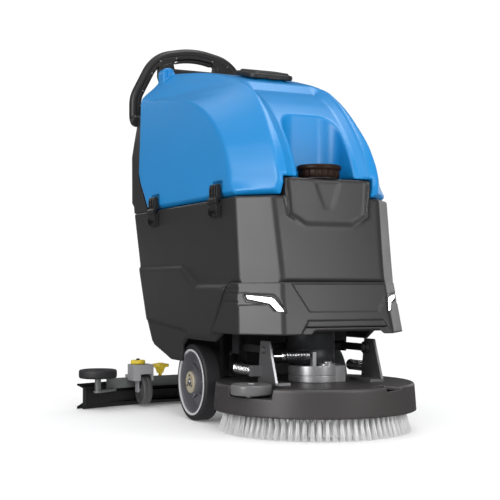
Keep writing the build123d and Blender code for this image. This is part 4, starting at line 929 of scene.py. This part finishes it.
# ---- handle bow ----
GRIP_Y = 790
bow_corners = [(-191, 757, 852), *((x, GRIP_Y, z) for x, z in (
    (-191, 852), (-191, 930), (-126, 1055), (0, 1081.4), (126, 1055), (191, 930), (191, 852))), (191, 757, 852)]
bow_line = rounded_path(bow_corners, (24, 90, 105, 250, 105, 90, 24), 12)
half_section = [(18, 0), (17.2, 5.5), (14.5, 10.5), (10, 13.8), (4, 15), (-1.5, 14.2), (-3, 12.4),
                (-4.4, 12.4), (-5.6, 13.6), (-12.5, 13.2), (-15.4, 11.5), (-16.6, 8), (-16.8, 0)]
section = half_section + [(n, -b) for n, b in half_section[-2:0:-1]]
loops = [[p + out * n + across * b for n, b in section] for p, out, across in carried(bow_line, (-1, 0, 0))]
piece("handle_bow_grip", *loft(loops), "black_plastic", "chassis", "handle_bow", bevel=0.5, angle=50)
screws = [(178, 905), (170, 950), (141, 1006), (112, 1046), (60, 1059)]
for k, (px, pz) in enumerate([(-px, pz) for px, pz in screws] + screws[::-1]):
    piece(f"grip_screw_{k + 1}", *rod(2.6, 774.8, 777.5, (px, 0, pz), "y", 20), "steel_grey", "chassis",
          bevel=0.4, slot="steel_grey")
for side, name in SIDES:
    outline = [(62, 946), (61, 1018), (67, 1030), (69, 1042), (60, 1053), (64, 1064), (100, 1056), (116, 1046),
               (116, 1000), (98, 946)]
    inset = [(70, 965), (92, 965), (103, 1003), (103, 1036), (76, 1044), (76, 1030)]
    web = merged(prism([(side * x, z) for x, z in outline], 776, 802, "y"),
                 prism([(side * x, z) for x, z in inset], 774, 778, "y"))
    piece(f"handle_pillar_{name}", *web, "black_plastic", "chassis", bevel=3, segments=3,
          slot="black_plastic")
# hood along the dashboard's upper edge
hood = [(704, 980), (704, 1000), (709, 1007), (722, 1012), (740, 1014), (757, 1010), (760, 998), (730, 990)]
hood = loft([[(x, y, z - drop) for y, z in hood]
             for x, drop in ((-112, 12), (-104, 4), (-70, 1), (0, 0), (70, 1), (104, 4), (112, 12))])
piece("dashboard_hood", *hood, "black_plastic", "chassis", bevel=1.5, slot="black_plastic")

# ---- lid ----
def pad(levels):
    """Stack of rounded rectangles in lid coordinates: (width, depth, radius, height)."""
    loops = []
    for width, depth, radius, height in levels:
        ring = rounded_rectangle(width, depth, radius, 10)
        loops.append(from_lid(np.column_stack([ring, np.full(len(ring), height)])))
    return loft(loops)


lid_top = pad([(120, 106, 20, 0.2), (129, 115, 24, 0.8), (132, 118, 25, 3.5), (132, 118, 25, 10), (129, 115, 24, 13),
               (122, 108, 21, 14), (114, 100, 18, 13.8), (111, 97, 17, 16.6), (108, 94, 16, 18.6),
               (100, 86, 13, 19.2)])
knuckle = lathe([(2.6, -20.5), (5, -20.5), (5, 20.5), (2.6, 20.5)], (0, 65, 6), "x", 32)
details = [(from_lid(part_verts), part_faces) for part_verts, part_faces in (
    knuckle, box((-20, 20), (50, 63), (2.5, 7.5)), box((-17, 17), (-64, -55), (1.5, 6)))]
piece("lid_moulding", *merged(lid_top, *details), "black_plastic", "tank_lid", "tank_lid",
      bevel=1, angle=40)

# ---- filler cap and neck ----
def grips(turn, r, h):
    """Finger grooves under the cap's brim."""
    return r if r < 45 or h > 638 else r - 3.2 * max(0, math.cos(12 * turn))**3


cap = [(0, 606), (33.5, 606), (33.5, 619.4), (50, 619.4), (51.5, 621), (51.5, 634), (50.5, 637), (52, 638.2),
       (54.4, 639), (55, 641), (55, 646), (54, 648.6), (51.5, 650), (44, 650), (42, 648), (16, 647.4), (14, 648.6),
       (0, 648.6)]
piece("filler_cap_moulding", *lathe(cap, (0, CAP_Y, 0), segments=144, wave=grips), "cap_brown",
      "filler_cap", "filler_cap")
neck = [(34, 572), (39.5, 572), (39.5, 615.2), (47, 615.2), (48, 616), (48, 618.4), (47, 619), (34, 619)]
piece("filler_neck_ring", *lathe(neck, (0, CAP_Y, 0), segments=72), "black_plastic", "chassis", "filler_neck")

# ---- latches ----
for latch_y, place in zip(LATCH_Y, ("front", "rear")):
    body = f"latch_{place}"
    lever = [(-214.5, 605), (-214.5, 573), (-219.6, 570), (-219.6, 545), (-221, 539.5), (-224, 539.5),
             (-227, 544), (-228.4, 566), (-226.4, 574), (-225.5, 604), (-222, 607.5)]
    main = prism(lever, latch_y - 23, latch_y + 23, "y")
    ribs = [prism([(-226, 578), (-229.2, 580), (-229.2, 598), (-225.4, 602)], latch_y + k - 2.2,
                  latch_y + k + 2.2, "y") for k in (-15, 0, 15)]
    waist = prism([(-226, 556), (-231, 560), (-231, 569), (-227, 574)], latch_y - 26, latch_y + 26, "y")
    piece(f"latch_lever_{place}", *merged(main, waist, *ribs), "black_plastic", body,
          f"latch_{place}", bevel=1, segments=2)
    plate = [box((-219.4, -216.6), (latch_y - 29, latch_y + 29), (524, 560))]
    for end in (-1, 1):
        y0, y1 = sorted((latch_y + end * 29, latch_y + end * 24.2))
        plate.append(prism([(-219, 527), (-226, 531), (-229, 538), (-229, 548), (-219, 556)], y0, y1, "y"))
    for k in (-8, 8):
        plate.append(box((-222, -219), (latch_y + k - 5, latch_y + k + 5), (527, 534)))
    plate.append(rod(2.5, latch_y - 25, latch_y + 25, (-222, 0, 542), "y", 24))
    piece(f"latch_base_{place}", *merged(*plate), "black_plastic", "chassis",
          "latch_bases" if place == "front" else (), bevel=0.7, slot="black_plastic")

# ---- CAD nodes that keep their form, with rounded edges: material, then each node's edge width in mm ----
for mat, widths in (
        ("grey_body", {"rear_column": 6}),
        ("black_plastic", {"control_panel": 3, "drain_sockets": 1, "flow_knob": 1, "batteries": 3,
                           "deck_pedal": 1.5, "squeegee_body": 0.8, "presence_lever": 1.2, "debris_basket": 0.6}),
        ("screen_glass", {"display_screen": 0.5}), ("button_grey", {"panel_button_1": 0.6, "panel_button_2": 0.6}),
        ("steel_grey", {"key_switch": 0.5, "deck_brackets": 1}),
        ("steel_dark", {"chassis_frame": 1.2, "transaxle": 1.5, "lift_arms": 1.2, "squeegee_arm": 1.2,
                        "tank_hinge_upper": 0.7, "tank_hinge_lower": 0.7, "caster_fork_right": 0.8,
                        "caster_fork_left": 0.8}),
        ("tyre_rubber", {"caster_wheel_right": 1, "caster_wheel_left": 1}),
        ("beam_grey", {"squeegee_beam": 1.6}), ("blade_rubber", {"squeegee_blades": 0.5}),
        ("fork_grey", {"wheel_forks": 2})):
    for node, width in widths.items():
        softened(node, mat, width, {"rear_column": 4, "control_panel": 3}.get(node, 2))

# ---- under the body ----
# plates that close the view past the transaxle, clear of the drive motor and the lift arms
splash = merged(box((-188, 188), (398, 402), (172, 254)), box((-112, -51), (398, 402), (96, 173)),
                box((51, 112), (398, 402), (96, 173)), box((66, 127), (60, 64), (214, 254)))
piece("splash_plates", *splash, "black_plastic", "chassis", bevel=0.6, slot="steel_dark")

motor = [(0, 160.5), (56, 160.5), (59, 162), (61, 165), (61, 196), (60, 197), (60, 199), (61, 200), (61, 250),
         (58, 258), (50, 262), (0, 262)]
piece("brush_motor_can", *lathe(motor, (0, 22, 0)), "steel_dark", "deck", "brush_motor")
gear = [(0, 119.2), (64, 119.2), (65.5, 120.5), (65.5, 134.2), (64.2, 135), (64.2, 136), (65.5, 136.8), (65.5, 158),
        (64, 160), (0, 160)]
flange = prism([(40, -60), (58, -52), (66, -20), (66, 30), (40, 50), (10, 40), (10, -60)], 119.6, 159.2, "z")
boss = merged(
    rod(21, 159, 165.5, (12, -38, 0), segments=48, chamfer=1.5), rod(11, 165, 170, (12, -44, 0), chamfer=1),
    rod(10, 66, 120), box((-36, -26), (-57, -44), (159, 194)))
piece("gear_case_casting", *merged(lathe(gear), flange, boss), "cast_alu", "deck",
      "gear_case", bevel=0.7, angle=40)


def coil(start, end, radius, wire, turns):
    """A compression spring with closed ends and more than three turns."""
    start, end = np.array(start, float), np.array(end, float)
    axis = (end - start) / np.linalg.norm(end - start)
    u = np.cross(axis, (0.2, 0.3, 0.95))
    u /= np.linalg.norm(u)
    v = np.cross(axis, u)
    count = int(turns * 20)
    points = []
    for k in range(count + 1):
        t = k / count
        along = np.clip((t * turns - 1) / (turns - 2), 0, 1)
        lay = min(t * turns, 1) * wire
        at = start + axis * (wire + lay + along * (np.linalg.norm(end - start) - 4 * wire))
        turn = 2 * math.pi * t * turns
        points.append(at + radius * (math.cos(turn) * u + math.sin(turn) * v))
    return tube(points, wire, 8)


springs = []
for side in (-1, 1):
    springs.append(coil((side * 163, 12, 149), (side * 163, 98, 149), 11.5, 2.2, 11))
    springs.append(lathe([(0, 9.2), (14, 9.2), (14, 12), (6, 13), (6, 97), (14, 98), (14, 101), (8, 102), (8, 105),
                          (0, 105)], (side * 163, 0, 149), "y", 32))
springs.append(coil((-116, -50, 186), (-48, -50, 186), 9, 1.9, 10))
springs.append(lathe([(0, -142), (4, -142), (4, -118), (11, -118), (11, -115.5), (4, -115), (4, -48), (11, -48),
                      (11, -45.5), (4, -45), (4, -36.5), (0, -36.5)], (0, -50, 186), "x", 24))
piece("deck_spring_coils", *merged(*springs), "spring_steel", "deck", "deck_springs")

# ---- squeegee ----
STAR_X = 130
STAR_Y = -191 + math.sqrt(936**2 - STAR_X**2)       # on the squeegee body's arc


def lobes(turn, r, h):
    """Five lobes round a star knob's head."""
    return r if r < 20 or h < 108.5 else r - 5 * (0.5 + 0.5 * math.cos(5 * turn))**2


def ribbed(turn, r, h):
    """Fine ribs round a flat knob."""
    return r - (0.7 * (0.5 + 0.5 * math.cos(24 * turn)) if r > 20 else 0)


for side, name in SIDES:
    wheel = [(4.1, 195), (12, 195), (14, 197), (30, 197), (33, 194.5), (37, 193), (40, 194), (41.3, 197), (41.5, 200),
             (41.5, 205.6), (40.7, 206.4), (40.7, 207.6), (41.5, 208.4), (41.5, 214), (41.3, 217), (40, 220), (37, 221),
             (33, 219.5), (30, 217), (14, 217), (12, 219), (4.1, 219)]
    piece(f"squeegee_caster_{name}", *lathe([(r, side * x) for r, x in wheel], (0, 668, 49), "x", 72),
          "wheel_grey", f"squeegee_wheel_{name}", f"squeegee_wheel_{name}")
    post = (side * 354.5, 645, 0)
    bumper = [(7.1, 90.5), (44, 90.5), (48, 90), (52, 91), (54, 94), (54.5, 98), (54.5, 107), (54, 111), (52, 114),
              (48, 115), (44, 114.2), (42, 112.6), (15, 112.6), (14, 114), (7.1, 114)]
    piece(f"end_roller_tyre_{name}", *lathe(bumper, post, segments=72), "tyre_rubber",
          f"end_roller_{name}", f"end_roller_{name}")

    star = [(0, 66), (5, 66), (5, 90), (9, 91), (10, 94), (12, 97), (13, 102), (16, 108), (26, 109.5), (27.5, 111.5),
            (27.5, 116), (26, 118.4), (22, 119.4), (12, 119.4), (10, 121.6), (0, 122)]
    piece(f"star_knob_form_{name}", *lathe(star, (side * STAR_X, STAR_Y, 0), segments=80, wave=lobes), "yellow_knob",
          f"star_knob_{name}", f"star_knob_{name}")

    flat = [(0, 114), (4, 114), (4, 124.6), (19, 124.6), (21, 125.6), (21.5, 127.4), (21.5, 133.6), (20.6, 135.6),
            (18, 136.5), (8, 136.5), (7, 136), (0, 136)]
    at = (side * 222, 676, 0)
    piece(f"flat_knob_form_{name}", *lathe(flat, at, segments=144, wave=ribbed), "yellow_knob",
          f"flat_knob_{name}", f"flat_knob_{name}")
    nut = lathe([(0, 136), (5.6, 136), (5.6, 139.6), (4.6, 141), (0, 141)], at, segments=6)
    piece(f"flat_knob_nut_{name}", *nut, "steel_dark", f"flat_knob_{name}", bevel=0.4, slot="steel_dark")
